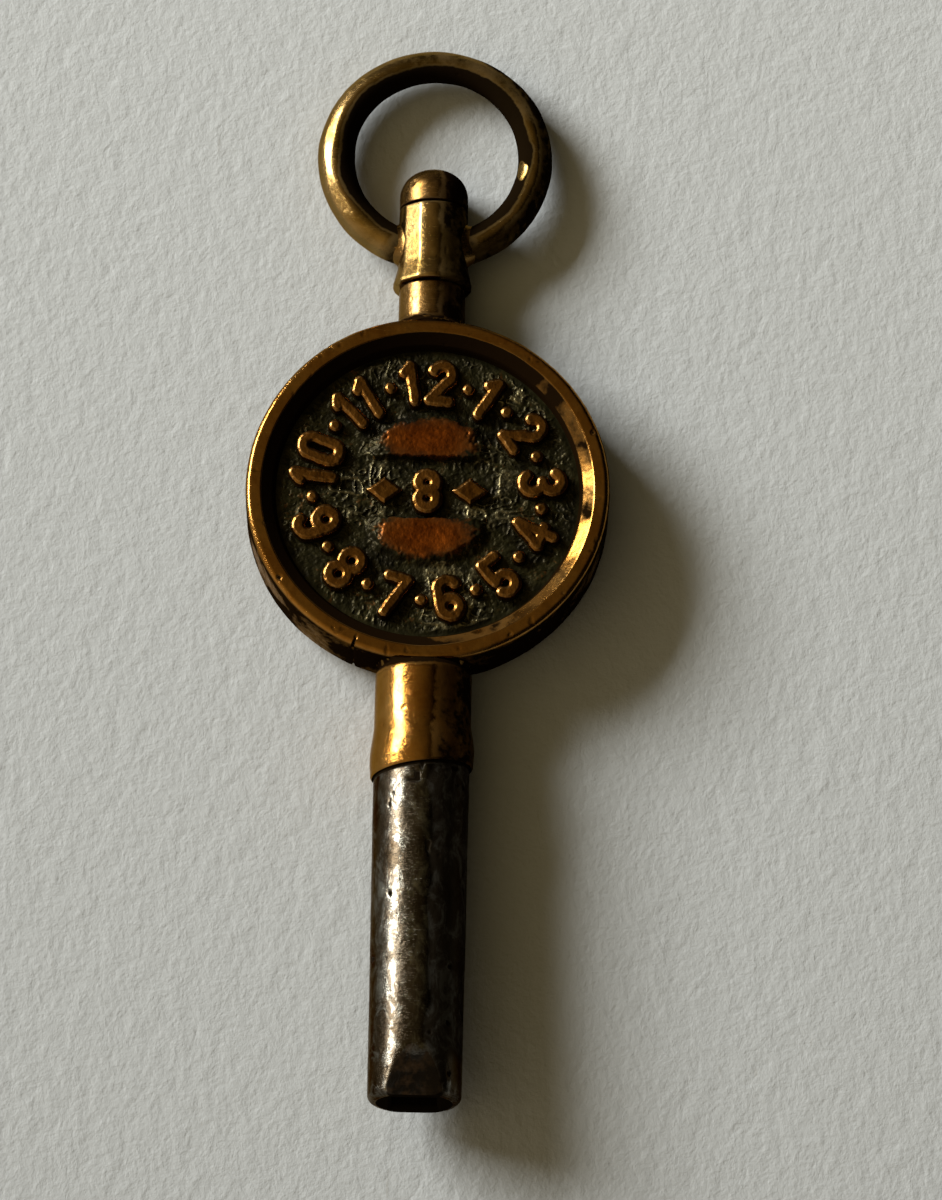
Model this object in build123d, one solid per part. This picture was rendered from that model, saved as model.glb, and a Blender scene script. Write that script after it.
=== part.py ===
from build123d import *

import os
from math import atan2, cos, degrees, pi, radians, sin, sqrt

# Watch key: a steel pipe in a brass ferrule, a disc with raised numbers, and a bow that swivels.
# Lengths are in millimetres and angles in degrees.
# The key lies along Y. The origin is the middle of the socket's mouth, +Y runs to the bow,
# and the numbered front faces +Z.

# Steel pipe, turned from bar, with a square socket and two filed flats at its mouth
PIPE_RADIUS = 1.56
PIPE_VISIBLE = 11.0
PIPE_END_ROUND = 0.25
SOCKET_WIDTH = 1.45
SOCKET_DEPTH = 6.5
SOCKET_LEAD = 0.12
DRILL_RUN_OUT = 1.2
DRILL_POINT = 0.4
FLAT_DEPTH = 0.42
FLAT_LENGTH = 2.0

# Brass ferrule, lapping the pipe below and seated on the rim above, with a bead round its lower
# end, which is cut at a slant
FERRULE_RADIUS = 1.54
FERRULE_LENGTH = 3.54
FERRULE_WALL = 0.49
FERRULE_CROWN = 0.94
FERRULE_SEAT = 0.08
FERRULE_LIP_WALL = 0.10
FERRULE_BEAD_WALL = 0.16
FERRULE_BEAD_HEIGHT = 1.3
FERRULE_LAP = 0.55
FERRULE_SHOULDER = 0.35
FERRULE_SLANT = 0.43

# Brass rim, bent from strip, with a hollow inner wall on each side
RIM_RADIUS = 6.0
RIM_THICKNESS = 2.3
RIM_WALL = 1.0
RIM_LAND = 0.5
RIM_EDGE_ROUND = 0.2
COVE_SAG_SHARE = 0.16

# Blank and the two stamped plates that fill the rim
CORE_THICKNESS = 0.60
PLATE_THICKNESS = 0.30
RELIEF = 0.32

# Numbers and ornaments on the plates
NUMBER_HEIGHT = 1.6
NUMBER_STROKE = 0.34
NUMBER_MARGIN = 0.4
DIGIT_GAP = 0.16
PIP_RADIUS = 0.17
CENTRE_HEIGHT = 1.5
CENTRE_STROKE = 0.36
CENTRE_GAP = 0.42
LOZENGE_WIDTH = 1.05
LOZENGE_HEIGHT = 0.85
MEDALLION_GAP = 0.22
BAND_GAP = 0.14
BAR_WIDTH = 0.34
BARS = 18

# Flat tangs of the ferrule and the neck, through the rim into the blank
TANG_WIDTH = 1.5
TANG_REACH = 1.2
TANG_CLEARANCE = 0.02

# Brass neck and the pivot pin that is fixed in it
NECK_RADIUS = 1.12
NECK_LENGTH = 1.37
NECK_EDGE_ROUND = 0.06
NECK_FLOOR = 0.27
PIN_RADIUS = 0.55
HEAD_RADIUS = 1.15
HEAD_WALL = 0.85
HEAD_DOME = 0.58
HEAD_EDGE_ROUND = 0.08

# Brass sleeve that turns on the pivot pin, and the bow fixed to it
SWIVEL_CLEARANCE = 0.04
SWIVEL_PLAY = 0.04
SLEEVE_LENGTH = 2.78
SLEEVE_RADIUS = 1.16
SLEEVE_FLANGE_RADIUS = 1.32
SLEEVE_FLARE_HEIGHT = 1.3
SLEEVE_LIP = 0.14
SLEEVE_EDGE_ROUND = 0.06
BOW_RADIUS = 3.34
BOW_WIRE_RADIUS = 0.60
BOW_JOINT_HEIGHT = 1.58

# Solder fillets
FERRULE_SOLDER_HEIGHT = 0.22
NECK_SOLDER_FOOT = 0.28
NECK_SOLDER_HEIGHT = 0.26
BOW_SOLDER_FOOT = 0.26
BOW_SOLDER_HEIGHT = 0.50
SOLDER_EDGE = 0.05

# How far a cutting shape runs past what it cuts
OVERRUN = 1.0

# Places along the key
PIPE_SHOULDER_Y = PIPE_VISIBLE + FERRULE_LAP
RIM_LOW_Y = PIPE_VISIBLE + FERRULE_LENGTH
SPIGOT_END_Y = RIM_LOW_Y - FERRULE_CROWN
FERRULE_TOP_Y = RIM_LOW_Y + FERRULE_SEAT
DISC_Y = RIM_LOW_Y + RIM_RADIUS
RIM_TOP_Y = DISC_Y + RIM_RADIUS
PIN_END_Y = RIM_TOP_Y + NECK_FLOOR
NECK_TOP_Y = RIM_TOP_Y + NECK_LENGTH
SLEEVE_LOW_Y = NECK_TOP_Y + SWIVEL_PLAY
SLEEVE_TOP_Y = SLEEVE_LOW_Y + SLEEVE_LENGTH
HEAD_LOW_Y = SLEEVE_TOP_Y + SWIVEL_PLAY
HEAD_WALL_TOP_Y = HEAD_LOW_Y + HEAD_WALL
HEAD_TOP_Y = HEAD_WALL_TOP_Y + HEAD_DOME
BOW_JOINT_Y = SLEEVE_LOW_Y + BOW_JOINT_HEIGHT
BOW_Y = BOW_JOINT_Y + sqrt(BOW_RADIUS**2 - SLEEVE_RADIUS**2)

# Radii, heights and the tangs' ends
RIM_FACE_Z = RIM_THICKNESS / 2
RIM_BORE = RIM_RADIUS - RIM_WALL
LAND_RADIUS = RIM_RADIUS - RIM_LAND
CORE_FACE_Z = CORE_THICKNESS / 2
FIELD_Z = CORE_FACE_Z + PLATE_THICKNESS
NUMBER_OUTER = RIM_BORE - NUMBER_MARGIN
NUMBER_RADIUS = NUMBER_OUTER - NUMBER_HEIGHT / 2
MEDALLION_RADIUS = NUMBER_OUTER - NUMBER_HEIGHT - MEDALLION_GAP
BAND_HEIGHT = CENTRE_HEIGHT + 2 * BAND_GAP
TANG_THICKNESS = CORE_THICKNESS - 2 * TANG_CLEARANCE
SPIGOT_RADIUS = FERRULE_RADIUS - FERRULE_WALL
BEAD_RADIUS = PIPE_RADIUS + FERRULE_BEAD_WALL
LIP_RADIUS = PIPE_RADIUS + FERRULE_LIP_WALL
SLEEVE_BORE = PIN_RADIUS + SWIVEL_CLEARANCE
FERRULE_TANG_END_Y = DISC_Y - RIM_BORE + TANG_REACH
NECK_TANG_END_Y = DISC_Y + RIM_BORE - TANG_REACH

# Strokes of each digit, in shares of the radius of its round bowls. The digit's middle is (0, 0)
# and its bowls are centred one share above and below it. A line has its two ends. An arc has its
# centre, the direction where it starts, and how far it turns.
DIGIT_LINE_SHARES = {
    "0": [((-1, -1), (-1, 1)), ((1, -1), (1, 1))],
    "1": [((0, -2), (0, 2)), ((0, 2), (-0.7, 1.3))],
    "2": [((0.87, 0.5), (-1, -2)), ((-1, -2), (1, -2))],
    "3": [],
    "4": [((0.5, -2), (0.5, 2)), ((0.5, 2), (-1, -0.8)), ((-1, -0.8), (1.1, -0.8))],
    "5": [((0.9, 2), (-0.8, 2)), ((-0.8, 2), (-0.8, -0.1))],
    "6": [((-1, -1), (-1, 1))],
    "7": [((-1, 2), (1, 2)), ((1, 2), (-0.3, -2))],
    "8": [],
    "9": [((1, -1), (1, 1))],
}
DIGIT_ARC_SHARES = {
    "0": [((0, 1), 0, 180), ((0, -1), 180, 180)],
    "1": [],
    "2": [((0, 1), -30, 190)],
    "3": [((0, 1), -90, 240), ((0, -1), 210, 240)],
    "4": [],
    "5": [((0, -1), 210, 290)],
    "6": [((0, 1), 30, 150), ((0, -1), 0, 360)],
    "7": [],
    "8": [((0, 1), 0, 360), ((0, -1), 0, 360)],
    "9": [((0, 1), 0, 360), ((0, -1), 210, 150)],
}
NARROW_DIGIT = "1"
NARROW_DIGIT_SHARE = 0.45

# Numbers read from below where the cosine of their angle from the top is under this share
LOWER_HALF_SHARE = -0.2

NUMBERS = range(1, 13)
CENTRE_NUMBER = "8"


def turned(outline):
    """Solid turned about the key's long axis from a closed outline of (radius, along) edges."""
    return revolve(make_face(outline), Axis.Y)


def turned_from_corners(corners, rounds):
    """Turned solid from (radius, along) corners, each with its own rounding."""
    return turned(FilletPolyline(*corners, radius=rounds, close=True))


def flat_cutter(side):
    """Wedge that files one flat on the pipe: deepest at the mouth, running out up the pipe."""
    slope = FLAT_DEPTH / FLAT_LENGTH
    outline = Polyline(
        (FLAT_LENGTH + OVERRUN, side * (PIPE_RADIUS + slope * OVERRUN)),
        (-OVERRUN, side * (PIPE_RADIUS - FLAT_DEPTH - slope * OVERRUN)),
        (-OVERRUN, side * (PIPE_RADIUS + OVERRUN)),
        (FLAT_LENGTH + OVERRUN, side * (PIPE_RADIUS + OVERRUN)),
        close=True,
    )
    return extrude(Plane.YZ * make_face(outline), PIPE_RADIUS, both=True)


def square_socket():
    """Square hole for the winding square, with a lead at its mouth and the drill's end beyond."""
    drill_end_y = SOCKET_DEPTH + DRILL_RUN_OUT
    drill_radius = SOCKET_WIDTH / 2
    lead_width = SOCKET_WIDTH + 2 * SOCKET_LEAD
    square = Pos(0, SOCKET_DEPTH / 2, 0) * Box(SOCKET_WIDTH, SOCKET_DEPTH, SOCKET_WIDTH)
    drilled = turned_from_corners(
        [(0, 0), (drill_radius, 0), (drill_radius, drill_end_y), (0, drill_end_y + DRILL_POINT)],
        [0, 0, 0, 0],
    )
    mouth = Plane.XZ * Rectangle(lead_width, lead_width)
    throat = Plane.XZ.offset(-SOCKET_LEAD) * Rectangle(SOCKET_WIDTH, SOCKET_WIDTH)
    return square + drilled + loft([mouth, throat])


def make_pipe():
    body = turned_from_corners(
        [
            (0, 0),
            (PIPE_RADIUS, 0),
            (PIPE_RADIUS, PIPE_SHOULDER_Y),
            (SPIGOT_RADIUS, PIPE_SHOULDER_Y),
            (SPIGOT_RADIUS, SPIGOT_END_Y),
            (0, SPIGOT_END_Y),
        ],
        [0, PIPE_END_ROUND, 0, 0, 0, 0],
    )
    return body - square_socket() - flat_cutter(1) - flat_cutter(-1)


def tang(from_y, to_y):
    """Flat tang on the key's axis between two places along it."""
    middle_y = (from_y + to_y) / 2
    return Pos(0, middle_y, 0) * Box(TANG_WIDTH, abs(to_y - from_y), TANG_THICKNESS)


def tang_slot(from_y, to_y):
    """Cutting shape for a tang, larger than it by the clearance all round."""
    middle_y = (from_y + to_y) / 2
    width = TANG_WIDTH + 2 * TANG_CLEARANCE
    return Pos(0, middle_y, 0) * Box(width, abs(to_y - from_y), CORE_THICKNESS)


def rim_outline():
    """Section of the rim, as (radius from the disc's centre, height): lands, coves and bore."""
    chord_r = LAND_RADIUS - RIM_BORE
    chord_z = RIM_FACE_Z - FIELD_Z
    cove_r = (LAND_RADIUS + RIM_BORE) / 2 + COVE_SAG_SHARE * chord_z
    cove_z = (RIM_FACE_Z + FIELD_Z) / 2 - COVE_SAG_SHARE * chord_r
    outside = FilletPolyline(
        (LAND_RADIUS, RIM_FACE_Z),
        (RIM_RADIUS, RIM_FACE_Z),
        (RIM_RADIUS, -RIM_FACE_Z),
        (LAND_RADIUS, -RIM_FACE_Z),
        radius=RIM_EDGE_ROUND,
    )
    back_cove = ThreePointArc((LAND_RADIUS, -RIM_FACE_Z), (cove_r, -cove_z), (RIM_BORE, -FIELD_Z))
    bore = Line((RIM_BORE, -FIELD_Z), (RIM_BORE, FIELD_Z))
    front_cove = ThreePointArc((RIM_BORE, FIELD_Z), (cove_r, cove_z), (LAND_RADIUS, RIM_FACE_Z))
    return outside + back_cove + bore + front_cove


def rim_ring():
    """The rim before its slots are cut."""
    return Pos(0, DISC_Y, 0) * revolve(Plane.XZ * make_face(rim_outline()), Axis.Z)


def disc_space(thickness):
    """Plain round space that the rim takes up, at the given thickness."""
    return Pos(0, DISC_Y, 0) * Cylinder(RIM_RADIUS, thickness)


def make_rim():
    low_slot = tang_slot(DISC_Y - RIM_RADIUS - OVERRUN, DISC_Y - RIM_BORE + OVERRUN)
    top_slot = tang_slot(RIM_TOP_Y + OVERRUN, DISC_Y + RIM_BORE - OVERRUN)
    return rim_ring() - low_slot - top_slot


def make_core():
    blank = Pos(0, DISC_Y, 0) * Cylinder(RIM_BORE, CORE_THICKNESS)
    low_notch = tang_slot(DISC_Y - RIM_RADIUS, FERRULE_TANG_END_Y + TANG_CLEARANCE)
    top_notch = tang_slot(RIM_TOP_Y, NECK_TANG_END_Y - TANG_CLEARANCE)
    return blank - low_notch - top_notch


def make_ferrule():
    slant_half = FERRULE_SLANT / 2
    low_y = PIPE_VISIBLE - slant_half
    bead_top_y = low_y + FERRULE_BEAD_HEIGHT
    bead_y = (low_y + bead_top_y) / 2
    inside = Polyline(
        (0, FERRULE_TOP_Y),
        (0, SPIGOT_END_Y),
        (SPIGOT_RADIUS, SPIGOT_END_Y),
        (SPIGOT_RADIUS, PIPE_SHOULDER_Y),
        (PIPE_RADIUS, PIPE_SHOULDER_Y),
        (PIPE_RADIUS, low_y),
        (LIP_RADIUS, low_y),
    )
    bead = ThreePointArc((LIP_RADIUS, low_y), (BEAD_RADIUS, bead_y), (FERRULE_RADIUS, bead_top_y))
    outside = FilletPolyline(
        (FERRULE_RADIUS, bead_top_y),
        (FERRULE_RADIUS, FERRULE_TOP_Y),
        (0, FERRULE_TOP_Y),
        radius=FERRULE_SHOULDER,
    )
    body = turned(inside + bead + outside)
    slant_angle = degrees(atan2(FERRULE_SLANT, 2 * BEAD_RADIUS))
    cut_width = 2 * (BEAD_RADIUS + OVERRUN)
    slant_cut = Pos(0, PIPE_VISIBLE, 0) * Rot(0, 0, slant_angle)
    slant_cut *= Pos(0, -cut_width / 2, 0) * Box(cut_width, cut_width, cut_width)
    body = body - slant_cut - disc_space(RIM_THICKNESS)
    return body + tang(SPIGOT_END_Y, FERRULE_TANG_END_Y)


def make_neck():
    body = turned_from_corners(
        [
            (0, RIM_TOP_Y - NECK_RADIUS),
            (NECK_RADIUS, RIM_TOP_Y - NECK_RADIUS),
            (NECK_RADIUS, NECK_TOP_Y),
            (PIN_RADIUS, NECK_TOP_Y),
            (PIN_RADIUS, PIN_END_Y),
            (0, PIN_END_Y),
        ],
        [0, 0, NECK_EDGE_ROUND, 0, 0, 0],
    )
    return body - disc_space(RIM_THICKNESS + 2 * OVERRUN) + tang(PIN_END_Y, NECK_TANG_END_Y)


def make_pivot_pin():
    dome_radius = (HEAD_RADIUS**2 + HEAD_DOME**2) / (2 * HEAD_DOME)
    halfway = atan2(HEAD_RADIUS, dome_radius - HEAD_DOME) / 2
    halfway_point = (dome_radius * sin(halfway), HEAD_TOP_Y - dome_radius * (1 - cos(halfway)))
    below = FilletPolyline(
        (0, PIN_END_Y),
        (PIN_RADIUS, PIN_END_Y),
        (PIN_RADIUS, HEAD_LOW_Y),
        (HEAD_RADIUS, HEAD_LOW_Y),
        (HEAD_RADIUS, HEAD_WALL_TOP_Y),
        radius=[0, 0, HEAD_EDGE_ROUND],
    )
    dome = ThreePointArc((HEAD_RADIUS, HEAD_WALL_TOP_Y), halfway_point, (0, HEAD_TOP_Y))
    return turned(below + dome + Line((0, HEAD_TOP_Y), (0, PIN_END_Y)))


def sleeve_corners(bore):
    """Outline of the sleeve round a hole of the given radius, as (radius, along) corners."""
    return [
        (bore, SLEEVE_LOW_Y),
        (SLEEVE_FLANGE_RADIUS, SLEEVE_LOW_Y),
        (SLEEVE_FLANGE_RADIUS, SLEEVE_LOW_Y + SLEEVE_LIP),
        (SLEEVE_RADIUS, SLEEVE_LOW_Y + SLEEVE_FLARE_HEIGHT),
        (SLEEVE_RADIUS, SLEEVE_TOP_Y),
        (bore, SLEEVE_TOP_Y),
    ]


def make_swivel_sleeve():
    edge = SLEEVE_EDGE_ROUND
    return turned_from_corners(sleeve_corners(SLEEVE_BORE), [0, edge, edge, 0, edge, 0])


def sleeve_plug():
    """The sleeve's outside with no hole, which shapes what is fitted against it."""
    return turned_from_corners(sleeve_corners(0), [0] * len(sleeve_corners(0)))


def bow_ring():
    return Pos(0, BOW_Y, 0) * Torus(BOW_RADIUS, BOW_WIRE_RADIUS)


def make_bow_wire():
    """Round wire bent to a ring, open where its two ends meet the sleeve's sides."""
    return bow_ring() - sleeve_plug()


def make_bow_solder():
    """Collar of solder round each end of the wire, against the sleeve."""
    lean = degrees(atan2(SLEEVE_RADIUS, BOW_Y - BOW_JOINT_Y))
    foot_radius = BOW_WIRE_RADIUS + BOW_SOLDER_FOOT
    edge_radius = BOW_WIRE_RADIUS + SOLDER_EDGE
    inset = SLEEVE_RADIUS / 2
    height = BOW_SOLDER_HEIGHT + inset
    cone = Rot(0, 90, 0) * Pos(0, 0, height / 2 - inset) * Cone(foot_radius, edge_radius, height)
    right = Pos(SLEEVE_RADIUS, BOW_JOINT_Y, 0) * Rot(0, 0, lean) * cone
    left = mirror(right, Plane.YZ)
    return (right + left) - sleeve_plug() - bow_ring()


def make_ferrule_solder(ferrule):
    """Solder in the groove between the ferrule's rounded shoulder and the rim."""
    radius = FERRULE_RADIUS - SOLDER_EDGE
    low_y = FERRULE_TOP_Y - FERRULE_SOLDER_HEIGHT
    high_y = DISC_Y - sqrt(RIM_RADIUS**2 - FERRULE_RADIUS**2)
    fill = turned_from_corners([(0, low_y), (radius, low_y), (radius, high_y), (0, high_y)], [0] * 4)
    depth = RIM_THICKNESS - 2 * RIM_EDGE_ROUND
    slab = Pos(0, FERRULE_TOP_Y, 0) * Box(2 * FERRULE_RADIUS, 2 * FERRULE_RADIUS, depth)
    return (fill & slab) - ferrule - disc_space(RIM_THICKNESS)


def make_neck_solder(neck):
    """Solder fillet round the foot of the neck, on the rim."""
    foot_y = DISC_Y + sqrt(RIM_RADIUS**2 - (NECK_RADIUS + NECK_SOLDER_FOOT) ** 2)
    fillet_top_y = RIM_TOP_Y + NECK_SOLDER_HEIGHT
    cone = turned_from_corners(
        [
            (0, foot_y),
            (NECK_RADIUS + NECK_SOLDER_FOOT, foot_y),
            (NECK_RADIUS + SOLDER_EDGE, fillet_top_y),
            (0, fillet_top_y),
        ],
        [0, 0, 0, 0],
    )
    depth = RIM_THICKNESS - 2 * RIM_EDGE_ROUND
    slab = Pos(0, foot_y, 0) * Box(4 * NECK_RADIUS, 4 * NECK_RADIUS, depth)
    return (cone & slab) - neck - disc_space(RIM_THICKNESS)


def line_stroke(start, end, stroke):
    """Straight stroke with round ends."""
    run_x, run_y = end[0] - start[0], end[1] - start[1]
    middle = ((start[0] + end[0]) / 2, (start[1] + end[1]) / 2)
    length = sqrt(run_x**2 + run_y**2)
    return Pos(*middle) * Rot(0, 0, degrees(atan2(run_y, run_x))) * SlotCenterToCenter(length, stroke)


def arc_stroke(centre, radius, start, turn, stroke):
    """Curved stroke with round ends, or a whole ring where it turns right round."""
    outer, inner = radius + stroke / 2, radius - stroke / 2
    if turn == 360:
        return Pos(*centre) * (Circle(outer) - Circle(inner))
    end = start + turn
    first = (radius * cos(radians(start)), radius * sin(radians(start)))
    last = (radius * cos(radians(end)), radius * sin(radians(end)))
    outline = CenterArc((0, 0), outer, start, turn)
    outline += CenterArc(last, stroke / 2, end, 180)
    outline += CenterArc((0, 0), inner, end, -turn)
    outline += CenterArc(first, stroke / 2, start + 180, 180)
    return Pos(*centre) * make_face(outline)


def digit_face(digit, height, stroke):
    """Flat shape of one digit, centred on its own middle."""
    bowl = (height - stroke) / 4
    shapes = [
        line_stroke([bowl * v for v in start], [bowl * v for v in end], stroke)
        for start, end in DIGIT_LINE_SHARES[digit]
    ]
    shapes += [
        arc_stroke([bowl * v for v in centre], bowl, start, turn, stroke)
        for centre, start, turn in DIGIT_ARC_SHARES[digit]
    ]
    return Sketch() + shapes


def digit_width(digit, height, stroke):
    bowl = (height - stroke) / 4
    share = NARROW_DIGIT_SHARE if digit == NARROW_DIGIT else 1
    return 2 * bowl * share + stroke


def number_width(number):
    """Width of a number on the ring, gaps between its digits and all."""
    widths = [digit_width(digit, NUMBER_HEIGHT, NUMBER_STROKE) for digit in str(number)]
    return sum(widths) + DIGIT_GAP * (len(widths) - 1)


def round_the_ring(angle, upright=True):
    """Place on the number ring, clockwise from the top, with what stands there turned to suit."""
    turn = -angle if upright else 180 - angle
    x = NUMBER_RADIUS * sin(radians(angle))
    y = NUMBER_RADIUS * cos(radians(angle))
    return Pos(x, y) * Rot(0, 0, turn)


def ring_number(number, middle_angle):
    """Digits of one number, fanned out along the ring. On the lower half they read from below."""
    upright = cos(radians(middle_angle)) > LOWER_HALF_SHARE
    along = -number_width(number) / 2
    faces = []
    for digit in str(number):
        width = digit_width(digit, NUMBER_HEIGHT, NUMBER_STROKE)
        offset = degrees((along + width / 2) / NUMBER_RADIUS)
        place = round_the_ring(middle_angle + (offset if upright else -offset), upright)
        faces.append(place * digit_face(digit, NUMBER_HEIGHT, NUMBER_STROKE))
        along += width + DIGIT_GAP
    return faces


def number_ring():
    """Every number round the ring, the last one at the top, with a pip in each even gap."""
    spare = 2 * pi * NUMBER_RADIUS - sum(number_width(number) for number in NUMBERS)
    gap = spare / len(NUMBERS)
    faces = []
    along = number_width(NUMBERS[-1]) / 2
    for number in NUMBERS:
        faces.append(round_the_ring(degrees((along + gap / 2) / NUMBER_RADIUS)) * Circle(PIP_RADIUS))
        along += gap + number_width(number)
        middle = along - number_width(number) / 2
        faces += ring_number(number, degrees(middle / NUMBER_RADIUS))
    return faces


def lozenge():
    half_width, half_height = LOZENGE_WIDTH / 2, LOZENGE_HEIGHT / 2
    corners = [(half_width, 0), (0, half_height), (-half_width, 0), (0, -half_height)]
    return make_face(Polyline(*corners, close=True))


def medallion():
    """Round medallion with a clear band across its middle."""
    return Circle(MEDALLION_RADIUS) - Rectangle(2 * RIM_BORE, BAND_HEIGHT)


def plate(shapes):
    """Stamped plate: a thin disc with raised shapes on it, at its place on the front."""
    disc = Pos(0, 0, CORE_FACE_Z + PLATE_THICKNESS / 2) * Cylinder(RIM_BORE, PLATE_THICKNESS)
    raised = Sketch() + shapes
    relief = extrude(Pos(0, 0, CORE_FACE_Z) * raised, PLATE_THICKNESS + RELIEF)
    return Pos(0, DISC_Y, 0) * (disc + relief)


def make_front_plate():
    """Numbers one to twelve round a medallion, and a size number between two lozenges."""
    centre = digit_face(CENTRE_NUMBER, CENTRE_HEIGHT, CENTRE_STROKE)
    reach = digit_width(CENTRE_NUMBER, CENTRE_HEIGHT, CENTRE_STROKE) / 2 + CENTRE_GAP
    lozenges = [Pos(side * (reach + LOZENGE_WIDTH / 2), 0) * lozenge() for side in (-1, 1)]
    return plate([medallion(), centre, *lozenges, *number_ring()])


def make_back_plate():
    """The plain side: bars and pips in turn round the same medallion, with three lozenges."""
    shapes = [medallion()]
    for place in (-1, 0, 1):
        shapes.append(Pos(place * (LOZENGE_WIDTH + CENTRE_GAP), 0) * lozenge())
    for place in range(BARS):
        shapes.append(round_the_ring(place * 360 / BARS) * Rectangle(BAR_WIDTH, NUMBER_HEIGHT))
        shapes.append(round_the_ring((place + 0.5) * 360 / BARS) * Circle(PIP_RADIUS))
    return Rot(0, 180, 0) * plate(shapes)


def make_key():
    """Every piece of the key by name."""
    ferrule = make_ferrule()
    neck = make_neck()
    return {
        "pipe": make_pipe(),
        "ferrule": ferrule,
        "ferrule_solder": make_ferrule_solder(ferrule),
        "rim": make_rim(),
        "core": make_core(),
        "front_plate": make_front_plate(),
        "back_plate": make_back_plate(),
        "neck": neck,
        "neck_solder": make_neck_solder(neck),
        "pivot_pin": make_pivot_pin(),
        "swivel_sleeve": make_swivel_sleeve(),
        "bow_wire": make_bow_wire(),
        "bow_solder": make_bow_solder(),
    }


os.makedirs("parts", exist_ok=True)
for name, piece in make_key().items():
    export_step(piece, f"parts/{name}.step")
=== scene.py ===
from math import cos, hypot, pi, radians, sin, tan

import bpy
import numpy as np
from mathutils import Matrix, Vector


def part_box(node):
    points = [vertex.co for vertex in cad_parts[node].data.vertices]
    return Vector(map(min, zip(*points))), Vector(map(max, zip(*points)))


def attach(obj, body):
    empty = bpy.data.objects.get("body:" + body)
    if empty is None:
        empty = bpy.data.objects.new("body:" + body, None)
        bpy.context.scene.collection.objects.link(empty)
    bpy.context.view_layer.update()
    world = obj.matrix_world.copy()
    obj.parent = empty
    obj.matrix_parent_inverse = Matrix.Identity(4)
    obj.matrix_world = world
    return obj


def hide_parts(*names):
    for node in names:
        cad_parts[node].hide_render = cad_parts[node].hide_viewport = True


# Watch key, finished and lit as it lies on pale paper.
# Lengths are in millimetres and angles in degrees until a mesh, lamp or camera is made.
# The key lies along Y with its numbered front up, +Z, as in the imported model.

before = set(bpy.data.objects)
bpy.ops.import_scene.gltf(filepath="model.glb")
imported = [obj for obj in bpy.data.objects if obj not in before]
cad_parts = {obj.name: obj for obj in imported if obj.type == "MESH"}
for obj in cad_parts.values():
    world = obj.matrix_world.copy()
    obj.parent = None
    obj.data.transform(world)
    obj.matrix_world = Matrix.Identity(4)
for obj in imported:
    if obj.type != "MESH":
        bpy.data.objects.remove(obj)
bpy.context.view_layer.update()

MM = 0.001


def box_mm(node):
    """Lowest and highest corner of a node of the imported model."""
    low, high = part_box(node)
    return np.array(low) / MM, np.array(high) / MM


pipe_high = box_mm("pipe")[1]
ferrule_high = box_mm("ferrule")[1]
rim_low, rim_high = box_mm("rim")
plate_low, plate_high = box_mm("front_plate")
neck_low, neck_high = box_mm("neck")
pin_low, pin_high = box_mm("pivot_pin")
sleeve_low, sleeve_high = box_mm("swivel_sleeve")
bow_high = box_mm("bow_wire")[1]

# Hidden end faces of turned pieces start at END_FACE_RADIUS, and a fan of triangles closes them.
# ARC_ROOM is the short run beyond an arc at the end of an outline.
# WEAR_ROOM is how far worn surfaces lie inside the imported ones, so that no wave stands out of them.
END_FACE_RADIUS = 0.3
ARC_ROOM = 0.01
WEAR_ROOM = 0.012
SCUFF_DEPTH = 0.010
TURNED_SCUFF_DEPTH = 0.012
# Strength of the painted shade on the side of turned pieces away from the window
FAR_SHADE = 0.64

# Pipe, drawn a little thicker than packed, of which its wear takes half off again
PIPE_EXTRA = 0.02
PIPE_WORN = 0.010
PIPE_WAVE = 0.012
PIPE_RIPPLE = 0.006
PIPE_PIT_DEPTH = 0.028
# Strength of the painted shade on the pipe's side away from the window
PIPE_FAR_SHADE = 0.65
MOUTH_STAIN = 0.45
PIPE_RADIUS = pipe_high[0] + PIPE_EXTRA
PIPE_MOUTH_RADIUS = 1.52
SPIGOT_END_Y = pipe_high[1]
SPIGOT_RADIUS = 1.05
SHOULDER_Y = 11.55
PIPE_END_ROUND = 0.25
SOCKET_WIDTH = 1.45
SOCKET_LEAD = 0.12
SOCKET_DEPTH = 6.5
DRILL_END_Y = 7.7
DRILL_POINT_Y = 7.94
FLAT_DEPTH = 0.42
FLAT_LENGTH = 2.0
FLAT_BLEND = 0.03
FLAT_MARGIN = 0.3
FACE_SHARES = (0.12, 0.35, 0.6, 0.85, 0.96, 1.0)
LEAD_SHARES = (0.1, 0.5, 1.0)
SOCKET_PLACES = (0.16, 0.4, 1.0, 2.0, 3.5, 5.0, SOCKET_DEPTH)

# Ferrule
FERRULE_RADIUS = 1.59
FERRULE_EDGE_Y = 11.0
FERRULE_SLANT = 0.43
FERRULE_TOP_Y = 14.62
FERRULE_SHOULDER = 0.35
FERRULE_GAP = 0.045
FERRULE_LAP = 0.4
FERRULE_LAP_END = 0.44
FERRULE_SEAT = 0.05
BEAD_RADIUS = ferrule_high[2]
BEAD_LIP = 1.675
BEAD_HEIGHT = 1.75
BEAD_PEAK_SHARE = 0.32
EDGE_SLOPE = FERRULE_SLANT / (2 * BEAD_RADIUS)
DENT_PLACE = (-1.22, 12.35, 0.92)
DENT_DEPTH = 0.035
TANG_WIDTH = 1.5
TANG_THICKNESS = 0.56
TANG_START = 0.5

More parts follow.
